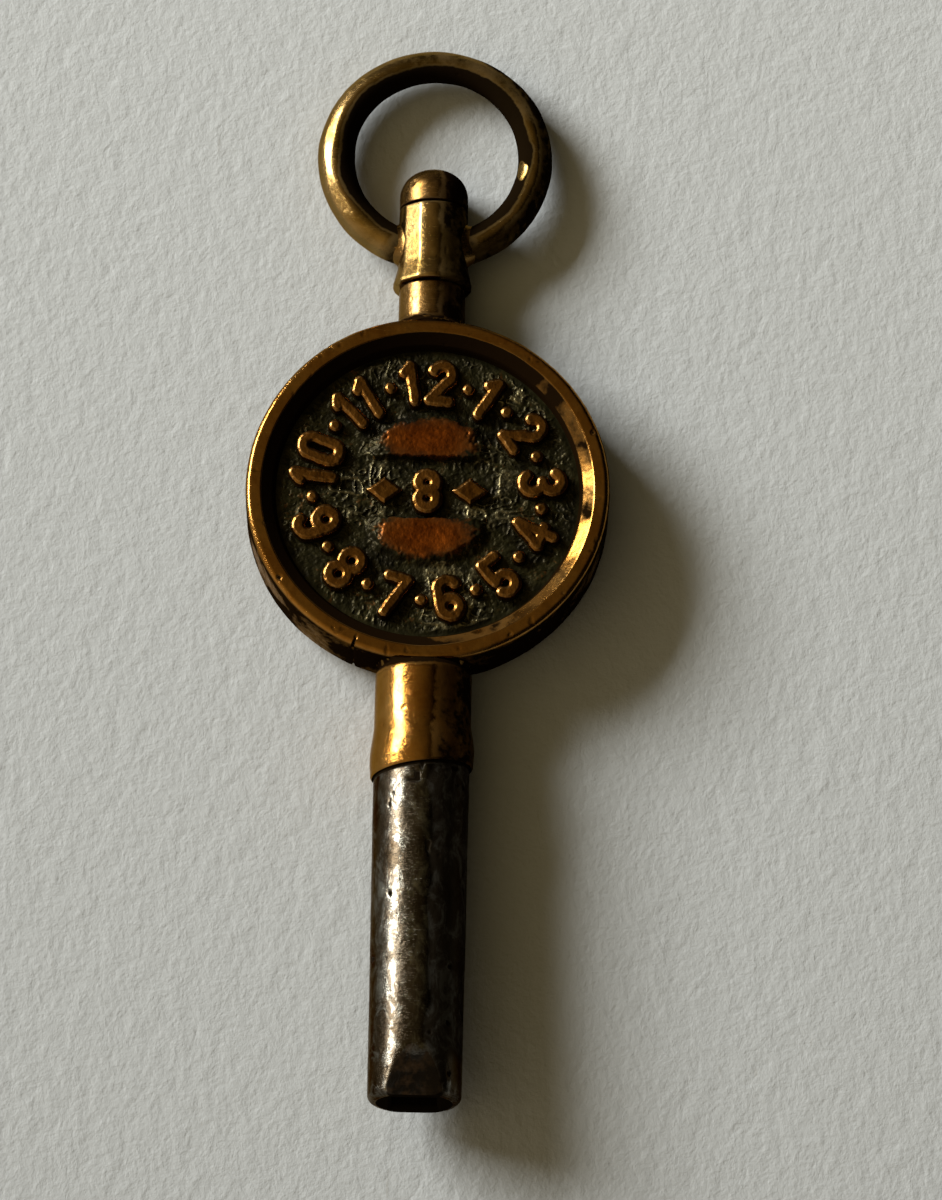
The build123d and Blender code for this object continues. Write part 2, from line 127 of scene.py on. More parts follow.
# Rim and plates
DISC_Y = (rim_low[1] + rim_high[1]) / 2
RIM_RADIUS = rim_high[0]
RIM_FACE_Z = rim_high[2]
RIM_BORE = plate_high[0]
LAND_RADIUS = 5.5
RIM_EDGE_ROUND = 0.2
BEVEL_START = 0.10
BEVEL_DROP = 0.26
BEVEL_ROUND = 0.12
LAND_ROUND = 0.07
PLATE_BACK_Z = plate_low[2]
FIELD_Z = 0.60
RELIEF = plate_high[2] - FIELD_Z
NUMBER_HEIGHT = 1.6
NUMBER_STROKE = 0.34
NUMBER_RADIUS = 3.8
DIGIT_GAP = 0.16
PIP_RADIUS = 0.17
CENTRE_HEIGHT = 1.5
CENTRE_STROKE = 0.36
CENTRE_GAP = 0.42
LOZENGE_WIDTH = 1.05
LOZENGE_HEIGHT = 0.85
MEDALLION_RADIUS = 2.78
MEDALLION_SHIFT = 0.12
BAND_HEIGHT = 2.02
BAR_WIDTH = 0.34
BARS = 18

# Neck, pivot pin, sleeve and bow
NECK_RADIUS = neck_high[0]
NECK_TOP_Y = neck_high[1]
NECK_SUNK = 0.35
NECK_ROUND = 0.06
RIM_TOP_Y = rim_high[1]
PIN_RADIUS = 0.55
PIN_FACE_RADIUS = 0.2
PIN_ROOM = 0.02
PIN_END_Y = pin_low[1] + PIN_ROOM
HEAD_RADIUS = pin_high[0]
HEAD_LOW_Y = 30.77
HEAD_WALL_TOP_Y = 31.2
HEAD_TOP_Y = pin_high[1]
HEAD_ROUND = 0.035
HEAD_POWER = 0.94
SLEEVE_LOW_Y = sleeve_low[1]
SLEEVE_TOP_Y = sleeve_high[1]
SLEEVE_BORE = 0.59
SLEEVE_RADIUS = 1.16
FLANGE_RADIUS = sleeve_high[0]
FLANGE_LIP = 0.14
FLARE_TOP_Y = SLEEVE_LOW_Y + 0.715
FLARE_SPREAD = 0.02
SLEEVE_SEAM_Y = SLEEVE_LOW_Y + 1
SLEEVE_SEAM_END_Y = SLEEVE_LOW_Y + 1.04
SLEEVE_ROUNDS = (0, 0.06, 0.07, 0.9, 0.03, 0)
BOW_REACH = bow_high[0]
BOW_Y = bow_high[1] - BOW_REACH
WIRE_RADIUS = bow_high[2]
WIRE_PATH = BOW_REACH - WIRE_RADIUS

# Strokes of each digit as lines and arcs, in shares of its bowls' radius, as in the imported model.
# A line has two ends. An arc has its centre, the angle where it starts, and the angle that it turns.
DIGIT_STROKES = {
    "0": ([((-1, -1), (-1, 1)), ((1, -1), (1, 1))], [((0, 1), 0, 180), ((0, -1), 180, 180)]),
    "1": ([((0, -2), (0, 2)), ((0, 2), (-0.7, 1.3))], []),
    "2": ([((0.87, 0.5), (-1, -2)), ((-1, -2), (1, -2))], [((0, 1), -30, 190)]),
    "3": ([], [((0, 1), -90, 240), ((0, -1), 210, 240)]),
    "4": ([((0.5, -2), (0.5, 2)), ((0.5, 2), (-1, -0.8)), ((-1, -0.8), (1.1, -0.8))], []),
    "5": ([((0.9, 2), (-0.8, 2)), ((-0.8, 2), (-0.8, -0.1))], [((0, -1), 210, 290)]),
    "6": ([((-1, -1), (-1, 1))], [((0, 1), 30, 150), ((0, -1), 0, 360)]),
    "7": ([((-1, 2), (1, 2)), ((1, 2), (-0.3, -2))], []),
    "8": ([], [((0, 1), 0, 360), ((0, -1), 0, 360)]),
    "9": ([((1, -1), (1, 1))], [((0, 1), 0, 360), ((0, -1), 210, 150)]),
}
NARROW_DIGIT = "1"
NARROW_DIGIT_SHARE = 0.45
LOWER_HALF_SHARE = -0.2
NUMBERS = range(1, 13)
CENTRE_NUMBER = "8"

# How finely the meshes are divided
STEP = 0.045
ARC_STEPS = 7
PIPE_SIDES = 320
TURNED_SIDES = 256
RIM_SIDES = 900
WIRE_SIDES = 128
COLLAR_SIDES = 96
FILLET_SIDES = 160
CROWN_STEPS = 21
PLATE_POINTS = 460
BACK_PLATE_POINTS = 360

# Lattice of repeatable random values that all the surface noise is read from
LATTICE = 48
LATTICE_VALUES = np.random.default_rng(11).uniform(-1, 1, (LATTICE,) * 3)
SEED_SHIFT = 7.31


def noise(points, size, seed=0):
    """Smooth noise from -1 to 1 over an array of 3D points, with bumps about as wide as size."""
    place = np.asarray(points) / size + seed * SEED_SHIFT
    cell = np.floor(place).astype(int)
    part = place - cell
    part = part * part * (3 - 2 * part)
    total = 0
    for corner in np.ndindex(2, 2, 2):
        weight = np.where(corner, part, 1 - part).prod(-1)
        i, j, k = np.moveaxis((cell + corner) % LATTICE, -1, 0)
        total = total + weight * LATTICE_VALUES[i, j, k]
    return total


def rough(points, size, seed=0, octaves=3):
    """Noise with finer and fainter noise added to it."""
    return sum(noise(points, size / 2**i, seed + 3 * i) / 1.8**i for i in range(octaves))


def ridged(points, size, seed=0):
    """Noise that stands up in thin crooked ridges, from 0 to 1."""
    bend = np.stack([noise(points, size * 1.7, seed + i) for i in (5, 6, 7)], -1)
    return (1 - np.abs(noise(points + 0.5 * size * bend, size, seed))) ** 2


def ease(value, low, high):
    """0 below low, 1 above high, and an S-shaped climb between them."""
    t = np.clip((value - low) / (high - low), 0, 1)
    return t * t * (3 - 2 * t)


def soft_least(a, b, blend):
    """The lesser of two arrays, rounded where they cross."""
    return (a + b - np.sqrt((a - b) ** 2 + blend * blend)) / 2


def scuffs(points, size, fine_size, seed, low, high):
    """Small rubbed hollows, from 0 to 1."""
    return ease(noise(points, size, seed) + 0.5 * noise(points, fine_size, seed + 1), low, high)


def rounded_path(corners, radii):
    """Points along straight runs joined by arcs. Each corner between the ends has its own radius."""
    corners = [np.array(c, float) for c in corners]
    points = [corners[0]]
    for before, corner, after, radius in zip(corners, corners[1:], corners[2:], radii):
        into, out = before - corner, after - corner
        into, out = into / hypot(*into), out / hypot(*out)
        half = np.arccos(np.clip(into @ out, -1, 1)) / 2
        if radius == 0 or half > pi / 2 - 0.01:
            points.append(corner)
            continue
        centre = corner + (into + out) / hypot(*(into + out)) * radius / sin(half)
        start = corner + into * radius / tan(half) - centre
        end = corner + out * radius / tan(half) - centre
        for t in np.linspace(0, 1, ARC_STEPS):
            way = start * (1 - t) + end * t
            points.append(centre + way / hypot(*way) * radius)
    points.append(corners[-1])
    return divided(points, STEP)


def divided(points, step):
    """The same path with no two points further apart than step."""
    path = [points[0]]
    for a, b in zip(points, points[1:]):
        a, b = np.asarray(a, float), np.asarray(b, float)
        count = max(1, int(np.ceil(hypot(*(b - a)) / step)))
        path += [a + (b - a) * (i + 1) / count for i in range(count)]
    return np.array(path, float)


def around(sides):
    """One row of angles round a turned piece, from +X towards +Z."""
    return np.arange(sides)[None, :] * 2 * pi / sides


def spun(radius, along, sides):
    """Rings about the key's long axis from arrays of radius and place along it."""
    angle = around(sides)
    radius, along = np.broadcast_arrays(radius + 0 * angle, along + 0 * angle)
    return np.stack([radius * np.cos(angle), along, radius * np.sin(angle)], -1)


def skin(rings, wrap=False):
    """Closed surface through stacked rings: points and quads, with a fan at each end unless it wraps."""
    count, sides = rings.shape[:2]
    row = np.arange(count if wrap else count - 1)[:, None]
    here, there = row * sides, (row + 1) % count * sides
    side = np.arange(sides)[None, :]
    after = (side + 1) % sides
    quads = np.stack([here + side, there + side, there + after, here + after], -1).reshape(-1, 4)
    points, faces = rings.reshape(-1, 3), quads.tolist()
    if not wrap:
        points = np.vstack([points, rings[0].mean(0), rings[-1].mean(0)])
        start, first, last = (count - 1) * sides, len(points) - 2, len(points) - 1
        for i in range(sides):
            faces.append([first, i, (i + 1) % sides])
            faces.append([last, start + (i + 1) % sides, start + i])
    return points, faces


def tang(low_y, high_y):
    """Plain closed box that is hidden inside the disc."""
    half_w, half_t = TANG_WIDTH / 2, TANG_THICKNESS / 2
    points = [(x, y, z) for x in (-half_w, half_w) for y in (low_y, high_y) for z in (-half_t, half_t)]
    faces = [[0, 1, 3, 2], [4, 6, 7, 5], [0, 4, 5, 1], [2, 3, 7, 6], [0, 2, 6, 4], [1, 5, 7, 3]]
    return np.array(points), faces


def joined(*shells):
    """One set of points and faces from several closed shells."""
    points, faces, start = [], [], 0
    for shell_points, shell_faces in shells:
        points.append(shell_points)
        faces += [[start + i for i in face] for face in shell_faces]
        start += len(shell_points)
    return np.vstack(points), faces


def volume(points, faces):
    """Signed volume of a closed mesh, negative when it is inside out."""
    corners = np.array([(*face, face[-1])[:4] for face in faces])
    a, b, c, d = (points[corners[:, i]] for i in range(4))
    return np.einsum("ij,ij->", a, np.cross(b, c) + np.cross(c, d)) / 6


def curvature(mesh, reach, passes):
    """How convex the mesh is at each vertex, from -1 to 1, where 1 is a radius of reach or less."""
    count = len(mesh.vertices)
    points, normals = np.empty(count * 3), np.empty(count * 3)
    mesh.vertices.foreach_get("co", points)
    mesh.vertex_normals.foreach_get("vector", normals)
    points, normals = points.reshape(-1, 3) / MM, normals.reshape(-1, 3)
    edges = np.empty(len(mesh.edges) * 2, int)
    mesh.edges.foreach_get("vertices", edges)
    a, b = edges.reshape(-1, 2).T
    ends, others = np.concatenate([a, b]), np.concatenate([b, a])
    degree = np.maximum(np.bincount(ends, minlength=count), 1)

    def mean_round(values):
        return np.bincount(ends, values[others], count) / degree

    mean = np.stack([mean_round(points[:, i]) for i in range(3)], -1)
    square = np.bincount(ends, ((points[ends] - points[others]) ** 2).sum(-1), count) / degree
    bend = -2 * ((mean - points) * normals).sum(-1) / np.maximum(square, 1e-9)
    convex = np.clip(bend * reach, -1, 1)
    for _ in range(passes):
        convex = (convex + mean_round(convex)) / 2
    return convex


SHARP_ANGLE = 50
WEAR_REACH = 0.16
WEAR_PASSES = 3


def new_object(name, data):
    item = bpy.data.objects.new(name, data)
    bpy.context.scene.collection.objects.link(item)
    return item


def make_piece(name, shell, body, node, material, marks):
    """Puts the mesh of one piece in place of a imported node. marks are its values for each vertex."""
    points, faces = shell
    if volume(points, faces) < 0:
        faces = [face[::-1] for face in faces]
    mesh = bpy.data.meshes.new(name)
    mesh.from_pydata((points * MM).tolist(), [], faces)
    mesh.polygons.foreach_set("use_smooth", [True] * len(faces))
    mesh.set_sharp_from_angle(angle=radians(SHARP_ANGLE))
    marks = dict(marks, convex=curvature(mesh, WEAR_REACH, WEAR_PASSES))
    for mark, values in marks.items():
        full = np.zeros(len(points), np.float32)
        full[: values.size] = values.ravel()
        mesh.attributes.new(mark, "FLOAT", "POINT").data.foreach_set("value", full)
    mesh.materials.append(material)
    piece = new_object(name, mesh)
    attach(piece, body)
    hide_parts(node)


class Shader:
    """The nodes of a material or of the world, with short calls that add a node and give its output."""

    def __init__(self, owner, surface="BSDF_PRINCIPLED", place="Object"):
        owner.use_nodes = True
        self.owner = owner
        self.tree = owner.node_tree
        self.surface = next(n for n in self.tree.nodes if n.type == surface)
        self.place = self.tree.nodes.new("ShaderNodeTexCoord").outputs[place]

    def add(self, kind, inputs, output=0, **settings):
        node = self.tree.nodes.new(kind)
        for key, value in settings.items():
            setattr(node, key, value)
        for key, value in inputs.items():
            self.put(value, node.inputs[key])
        return node.outputs[output]

    def put(self, value, socket):
        if isinstance(value, bpy.types.NodeSocket):
            self.tree.links.new(value, socket)
        elif socket.type == "RGBA":
            socket.default_value = (*value, 1)
        else:
            socket.default_value = value

    def set(self, **inputs):
        for key, value in inputs.items():
            self.put(value, self.surface.inputs[key.replace("_", " ").title().replace("Ior", "IOR")])

    def mark(self, name):
        return self.add("ShaderNodeAttribute", {}, "Fac", attribute_name=name)

    def stretched(self, scale, turn=(0, 0, 0)):
        turn = tuple(radians(t) for t in turn)
        return self.add("ShaderNodeMapping", {"Vector": self.place, "Scale": scale, "Rotation": turn})

    def noise(self, size, detail=3, harsh=0.55, vector=None, warp=0):
        inputs = {"Vector": vector or self.place, "Scale": 1 / (size * MM), "Detail": detail}
        inputs |= {"Roughness": harsh, "Distortion": warp}
        return self.add("ShaderNodeTexNoise", inputs)

    def ramp(self, value, low, high, start=0.0, end=1.0):
        inputs = {"Value": value, "From Min": low, "From Max": high, "To Min": start, "To Max": end}
        return self.add("ShaderNodeMapRange", inputs)

    def math(self, operation, a, b):
        return self.add("ShaderNodeMath", {0: a, 1: b}, operation=operation)

    def sum(self, total, *values):
        for value in values:
            total = self.math("ADD", total, value)
        return total

    def times(self, a, b):
        return self.math("MULTIPLY", a, b)

    def mix(self, share, a, b):
        return self.add("ShaderNodeMix", {"Factor": share, 6: a, 7: b}, 2, data_type="RGBA")

    def bumps(self, *layers):
        """Normal from layers of height and depth, each on top of the one before."""
        before = {}
        for height, depth in layers:
            inputs = {"Height": height, "Strength": 1.0, "Distance": depth * MM}
            before = {"Normal": self.add("ShaderNodeBump", inputs | before)}
        return before["Normal"]

    def scratches(self, along, across, turn):
        """Fine hairlines, from 0 to 1, much longer along X than across it before the turn."""
        lines = self.noise(1, 2, 0.6, self.stretched((1 / along, 1 / across, 1 / across), turn), 0.4)
        return self.ramp(lines, 0.60, 0.70)


def aged_brass(name, clean, worn, tarnish, roughness):
    """Old handled brass: a mottled tone, clean on edges, dark in hollows, finely scratched, and darkened
    where its dirt mark carries grime and painted shade.
    """
    s = Shader(bpy.data.materials.new(name))
    convex, dirt_and_shade = s.mark("convex"), s.mark("dirt_and_shade")
    cloud = s.noise(1.3, 5, 0.6, warp=0.6)
    fine = s.noise(0.22, 4, 0.6)
    tone = s.mix(s.ramp(cloud, 0.36, 0.66), worn, clean)
    specks = s.ramp(s.noise(0.12, 3, 0.7), 0.62, 0.72)
    tone = s.mix(s.times(specks, 0.4), tone, tarnish)
    edge = s.ramp(s.sum(convex, s.times(fine, 0.5)), 0.6, 1.2)
    tone = s.mix(s.times(edge, 0.6), tone, clean)
    ragged = s.ramp(fine, 0, 1, -0.2, 0.2)
    patchy = s.ramp(cloud, 0, 1, -0.4, 0.4)
    # The dirt mark carries real grime and painted shade
    grime_and_shade = s.ramp(s.sum(dirt_and_shade, ragged, patchy), 0.05, 0.85)
    hollow = s.ramp(convex, -0.25, -0.9)
    grime_and_shade = s.math("MAXIMUM", grime_and_shade, hollow)
    tone = s.mix(s.ramp(grime_and_shade, 0.0, 0.80), tone, tarnish)
    hair = s.sum(s.scratches(2.2, 0.035, (0, 0, 74)), s.scratches(1.6, 0.03, (20, 10, -38)))
    hair = s.sum(hair, s.scratches(1.9, 0.045, (0, 0, 12)))
    gloss = s.ramp(cloud, 0.3, 0.7, roughness + 0.04, roughness - 0.04)
    gloss = s.sum(gloss, s.times(hair, 0.04), s.ramp(fine, 0.35, 0.7, -0.03, 0.05))
    gloss = s.sum(gloss, s.ramp(grime_and_shade, 0.5, 1.0, 0, 0.25))
    normal = s.bumps((s.noise(0.5, 4, 0.5), 0.012), (fine, 0.003), (hair, -0.0012))
    metal = s.ramp(grime_and_shade, 0.25, 0.8, 1.0, 0.0)
    s.set(base_color=tone, roughness=gloss, normal=normal, metallic=metal)
    s.set(specular_ior_level=0.0, specular_tint=(0.75, 0.62, 0.46))
    return s.owner


def stamped_brass():
    """Plates: brown tops, copper segments, and a rough green-black ground with grey glints."""
    s = Shader(bpy.data.materials.new("patinated_brass"))
    relief, copper, ridge = s.mark("relief"), s.mark("copper"), s.mark("ridge")
    convex = s.mark("convex")
    cloud = s.noise(0.9, 5, 0.6, warp=0.5)
    fine = s.noise(0.13, 4, 0.65)
    ragged = s.ramp(fine, 0, 1, -0.35, 0.35)
    cloudy = s.ramp(cloud, 0.35, 0.65)
    ground = s.mix(cloudy, (0.004, 0.004, 0.002), (0.020, 0.018, 0.006))
    glint = s.ramp(s.sum(ridge, ragged), 0.62, 0.95)
    ground = s.mix(s.times(glint, 0.7), ground, (0.200, 0.170, 0.090))
    brown = s.mix(cloudy, (0.130, 0.055, 0.010), (0.220, 0.100, 0.022))
    red = s.mix(cloudy, (0.230, 0.052, 0.005), (0.360, 0.095, 0.012))
    bare = s.ramp(s.sum(relief, s.times(ragged, 0.6)), 0.22, 0.5)
    tone = s.mix(bare, ground, brown)
    shiny = s.ramp(s.sum(copper, ragged, s.ramp(cloud, 0.3, 0.7, -0.2, 0.2)), 0.15, 1.1)
    tone = s.mix(shiny, tone, red)
    edge = s.ramp(s.sum(convex, ragged), 0.3, 0.9)
    edge = s.times(edge, bare)
    tone = s.mix(s.times(edge, 0.35), tone, (0.46, 0.30, 0.13))
    hollow = s.ramp(convex, -0.15, -0.8)
    tone = s.mix(s.times(hollow, 0.85), tone, (0.005, 0.005, 0.003))
    bright = s.math("MAXIMUM", s.math("MAXIMUM", bare, shiny), s.times(glint, 0.6))
    gloss = s.sum(s.ramp(bright, 0, 1, 0.40, 0.28), s.times(ragged, 0.2))
    normal = s.bumps((s.noise(0.28, 4, 0.6), 0.016), (fine, 0.005))
    metal = s.ramp(bright, 0, 0.6, 0.45, 1.0)
    s.set(base_color=tone, roughness=gloss, normal=normal, metallic=metal)
    s.set(specular_ior_level=0.25, specular_tint=(0.60, 0.46, 0.30))
    return s.owner


def aged_steel():
    """Old steel: nearly black brown, with rubbed grey patches, pits, rust near its mouth, and painted
    shade carried by its pit mark.
    """
    s = Shader(bpy.data.materials.new("aged_steel"))
    convex, pit_and_shade, stain = s.mark("convex"), s.mark("pit_and_shade"), s.mark("stain")
    cloud = s.noise(1.5, 6, 0.65, s.stretched((1, 0.6, 1)), 0.5)
    fine = s.noise(0.16, 4, 0.7)
    dark = s.mix(s.ramp(cloud, 0.35, 0.66), (0.023, 0.016, 0.009), (0.070, 0.057, 0.041))
    rubbed = s.noise(0.5, 6, 0.75, s.stretched((1, 0.55, 1), (0, 0, 12)), 0.9)
    rubbed = s.ramp(s.sum(rubbed, s.ramp(cloud, 0.3, 0.7, -0.06, 0.06)), 0.49, 0.63)
    tone = s.mix(s.times(rubbed, 0.8), dark, (0.176, 0.172, 0.150))
    edge = s.ramp(s.sum(convex, s.times(fine, 0.4)), 0.55, 1.0)
    tone = s.mix(s.times(edge, 0.6), tone, (0.30, 0.27, 0.22))
    rust = s.ramp(s.sum(stain, s.ramp(s.noise(0.35, 4, 0.7), 0, 1, -0.5, 0.5)), 0.30, 0.75)
    rusty = s.mix(s.ramp(s.noise(0.5, 4, 0.6), 0.45, 0.65), (0.004, 0.003, 0.002), (0.023, 0.013, 0.006))
    tone = s.mix(s.times(rust, 0.95), tone, rusty)
    # Pits, hollows and the painted shade carried by the pit mark turn nearly black
    hollow = s.math("MAXIMUM", pit_and_shade, s.ramp(convex, -0.3, -0.9))
    tone = s.mix(s.ramp(hollow, 0.0, 0.88), tone, (0.006, 0.004, 0.002))
    hair = s.sum(s.scratches(1.8, 0.04, (0, 0, 82)), s.scratches(1.2, 0.03, (10, 30, 25)))
    gloss = s.sum(s.ramp(rubbed, 0, 1, 0.23, 0.17), s.times(hair, 0.05))
    gloss = s.sum(gloss, s.times(rust, 0.15), s.ramp(fine, 0.35, 0.7, -0.05, 0.06))
    normal = s.bumps((s.noise(0.45, 5, 0.6), 0.012), (fine, 0.007), (hair, -0.002))
    metal = s.ramp(s.math("MAXIMUM", rust, hollow), 0.25, 0.8, 1.0, 0.0)
    s.set(base_color=tone, roughness=gloss, normal=normal, metallic=metal)
    s.set(specular_ior_level=0.0, specular_tint=(0.46, 0.38, 0.31))
    return s.owner


def paper():
    """Pale felted paper with soft fibres, and painted shade that darkens it toward the key's mouth."""
    s = Shader(bpy.data.materials.new("paper"))
    # Painted light falloff along Y: darker toward the mouth
    painted_falloff = s.ramp(s.add("ShaderNodeSeparateXYZ", {"Vector": s.place}, "Y"), -20 * MM, 45 * MM)
    tooth = s.noise(0.55, 4, 0.6, s.stretched((1, 0.75, 1), (0, 0, 8)), 0.2)
    fleck = s.ramp(s.noise(0.32, 2, 0.5, s.stretched((1, 0.25, 1), (0, 0, 24))), 0.74, 0.80)
    tone = s.mix(painted_falloff, (0.378, 0.395, 0.402), (0.470, 0.493, 0.502))
    tone = s.mix(s.times(fleck, 0.22), tone, (0.24, 0.22, 0.18))
    s.set(base_color=tone, roughness=0.95, specular_ior_level=0.1)
    s.set(normal=s.bumps((tooth, 0.055), (s.noise(0.2, 3, 0.6), 0.020)))
    return s.owner


# Each brass has its clean, worn and tarnished colour, and its roughness
RED_BRASS = aged_brass("red_brass", (0.35, 0.18, 0.046), (0.23, 0.1, 0.018), (0.007, 0.0035, 0.0012), 0.13)
YELLOW_BRASS = aged_brass(
    "yellow_brass", (0.32, 0.205, 0.078), (0.17, 0.102, 0.026), (0.006, 0.0035, 0.0014), 0.20
)
POST_BRASS = aged_brass(
    "post_brass", (0.25, 0.148, 0.056), (0.13, 0.066, 0.016), (0.006, 0.003, 0.0012), 0.24
)
SOLDER = aged_brass("solder", (0.27, 0.15, 0.045), (0.12, 0.06, 0.014), (0.008, 0.004, 0.0015), 0.24)
PLATE_BRASS = stamped_brass()
STEEL = aged_steel()


def far_side(angle):
    """Painted shade on the side away from the window, toward +X."""
    return FAR_SHADE * ease(np.cos(angle), 0.00, 0.42)


def make_pipe():
    sides = PIPE_SIDES
    angle = around(sides)
    cosine, sine = np.abs(np.cos(angle)), np.abs(np.sin(angle))
    corners = [(END_FACE_RADIUS, SPIGOT_END_Y), (SPIGOT_RADIUS, SPIGOT_END_Y), (SPIGOT_RADIUS, SHOULDER_Y)]
    corners += [(PIPE_RADIUS, SHOULDER_Y), (PIPE_RADIUS, 0), (PIPE_RADIUS - PIPE_END_ROUND - ARC_ROOM, 0)]
    outline = rounded_path(corners, [0, 0, 0, PIPE_END_ROUND])
    radius, along = outline[:, :1], outline[:, 1:]
    taper = (PIPE_RADIUS - PIPE_MOUTH_RADIUS) * (1 - np.clip(along / SHOULDER_Y, 0, 1))
    radius = radius - taper + 0 * angle
    flat_r = (PIPE_RADIUS - FLAT_DEPTH * (1 - along / FLAT_LENGTH)) / np.maximum(sine, 0.1)
    flat_r = np.where(along < FLAT_LENGTH + FLAT_MARGIN, flat_r, 2 * PIPE_RADIUS)
    on_flat = ease(radius - flat_r, -0.01, 0.03)
    radius = soft_least(radius, flat_r, FLAT_BLEND)
    outside = spun(radius, along, sides)
    outer = np.ones_like(radius) * (along < SHOULDER_Y - 0.02)
    wave = PIPE_WAVE * noise(outside, 1.9, 1) + PIPE_RIPPLE * rough(outside, 0.5, 2)
    deep = noise(outside, 0.42, 4) + 0.5 * noise(outside, 0.19, 5) + 0.35 * noise(outside, 2.2, 6)
    pit_and_shade = ease(deep, 0.72, 1.0) * (1 - on_flat)
    radius = radius + outer * (wave - PIPE_PIT_DEPTH * pit_and_shade - PIPE_WORN)
    mouth = ease(along, 0.9, 0.0) + 0 * angle
    on_flat = on_flat * ease(along, FLAT_LENGTH, 0.9)
    edge = ease(along, 0.25, 0.05) * ease(cosine, 0.75, 0.55)
    stain = np.maximum(np.maximum(on_flat, edge), MOUTH_STAIN * mouth)
    # Painted shade on the side away from the window, kept off the corners at the mouth
    corner = ease(along, 1.6, 0.9)
    side = np.cos(angle) + 0.12 * noise(outside, 0.8, 7)
    far_shade = PIPE_FAR_SHADE * ease(side, 0.02, 0.42) * (1 - corner * ease(cosine, 0.6, 0.75))
    # Painted shadow in a thin ring on the pipe just below the ferrule's edge
    lean = EDGE_SLOPE * FERRULE_RADIUS * np.cos(angle)
    shade = ease(along - lean, FERRULE_EDGE_Y - 0.16, FERRULE_EDGE_Y - 0.08)
    shade = shade * (along < SHOULDER_Y)
    outside = spun(radius, along, sides)

    def square(width):
        return width / 2 / np.maximum(cosine, sine)

    lead = SOCKET_WIDTH + 2 * SOCKET_LEAD
    face = [radius[-1:] * (1 - t) + square(lead) * t for t in FACE_SHARES]
    inner = [(row, 0.0) for row in face]
    inner += [(square(SOCKET_WIDTH + 2 * SOCKET_LEAD * (1 - t)), SOCKET_LEAD * t) for t in LEAD_SHARES]
    inner += [(square(SOCKET_WIDTH), y) for y in SOCKET_PLACES]
    inner += [(SOCKET_WIDTH / 2, y) for y in (SOCKET_DEPTH, DRILL_END_Y)]
    inner += [(END_FACE_RADIUS, DRILL_POINT_Y)]
    inside = np.concatenate([spun(r + 0 * angle, y, sides) for r, y in inner])
    rings = np.concatenate([outside, inside])
    dark = np.ones((len(inner), sides))
    # The pit mark carries real pits and also the painted shade and shadow; the socket and end face are
    # dark all over
    pit_and_shade = np.maximum(np.maximum(outer * pit_and_shade, shade), far_shade)
    marks = {"pit_and_shade": np.concatenate([pit_and_shade, dark]), "stain": np.concatenate([stain, dark])}
    make_piece("steel_pipe", skin(rings), "key", "pipe", STEEL, marks)


def make_ferrule():
    sides = TURNED_SIDES
    angle = around(sides)
    bore, inner_y = PIPE_RADIUS + FERRULE_GAP, FERRULE_EDGE_Y + FERRULE_LAP_END
    corners = [(END_FACE_RADIUS, FERRULE_TOP_Y), (FERRULE_RADIUS, FERRULE_TOP_Y)]
    corners += [(FERRULE_RADIUS, FERRULE_EDGE_Y), (bore, FERRULE_EDGE_Y)]
    corners += [(bore, FERRULE_EDGE_Y + FERRULE_LAP), (PIPE_RADIUS - FERRULE_SEAT, inner_y)]
    corners += [(END_FACE_RADIUS, inner_y)]
    outline = rounded_path(corners, [FERRULE_SHOULDER, 0, 0, 0, 0])
    radius, along = outline[:, :1], outline[:, 1:]
    share = (along - FERRULE_EDGE_Y) / BEAD_HEIGHT
    outer = np.arange(len(outline))[:, None] <= np.argmax(outline[:, 1] <= FERRULE_EDGE_Y + 1e-6)
    peak = BEAD_RADIUS - WEAR_ROOM - FERRULE_RADIUS
    lip = BEAD_LIP - FERRULE_RADIUS
    below = lip + (peak - lip) * ease(share, -0.05, BEAD_PEAK_SHARE)
    above = peak * (1 - ease(share, BEAD_PEAK_SHARE, 1))
    swell = np.where(share < BEAD_PEAK_SHARE, below, above)
    corner = 0.05 * ease(along, FERRULE_EDGE_Y + 0.05, FERRULE_EDGE_Y)
    radius = radius + np.where(outer, swell - corner, 0)
    fall = 1 - ease(along, FERRULE_EDGE_Y + 0.2, FERRULE_EDGE_Y + 2.2)
    shift = EDGE_SLOPE * FERRULE_RADIUS * np.cos(angle) * fall
    rings = spun(radius, along + shift, sides)
    shown = outer & (radius > FERRULE_RADIUS - FERRULE_SHOULDER)
    from_dent = np.linalg.norm(rings - DENT_PLACE, axis=-1)
    change = 0.006 * noise(rings, 1.6, 8) + 0.003 * rough(rings, 0.45, 9)
    change = change - DENT_DEPTH * (1 - ease(from_dent, 0.04, 0.16))
    change = change - SCUFF_DEPTH * scuffs(rings, 0.3, 0.13, 10, 0.85, 1.1)
    radius = radius + shown * (change - WEAR_ROOM)
    rings = spun(radius, along + shift, sides)
    under = ~outer & (radius < BEAD_LIP) & (along < FERRULE_EDGE_Y + 1)
    top_edge = ease(along, FERRULE_TOP_Y - 0.5, FERRULE_TOP_Y - 0.15)
    # Grime under the lap and at the top joint, with painted shade on the side away from the window
    dirt_and_shade = np.maximum(np.maximum(1.0 * under, 0.8 * top_edge), far_side(angle))
    shell = joined(skin(rings), tang(FERRULE_TOP_Y - TANG_START, ferrule_high[1]))
    make_piece("ferrule_tube", shell, "key", "ferrule", RED_BRASS, {"dirt_and_shade": dirt_and_shade})


# Marks on the rim. Its pits are angle, width and depth. Its inner wall has painted shade, and only dust
# round the angle below, where it faces the window.
SEAM_ANGLE = 247.0
SEAM_DEPTH = 0.09
RIM_WORN = 0.014
RIM_PIT_INSET = 0.22
LIT_WALL_ANGLE = -20
RIM_PITS = ((214.0, 0.13, 0.05), (20.5, 0.12, 0.05), (299.0, 0.10, 0.03))


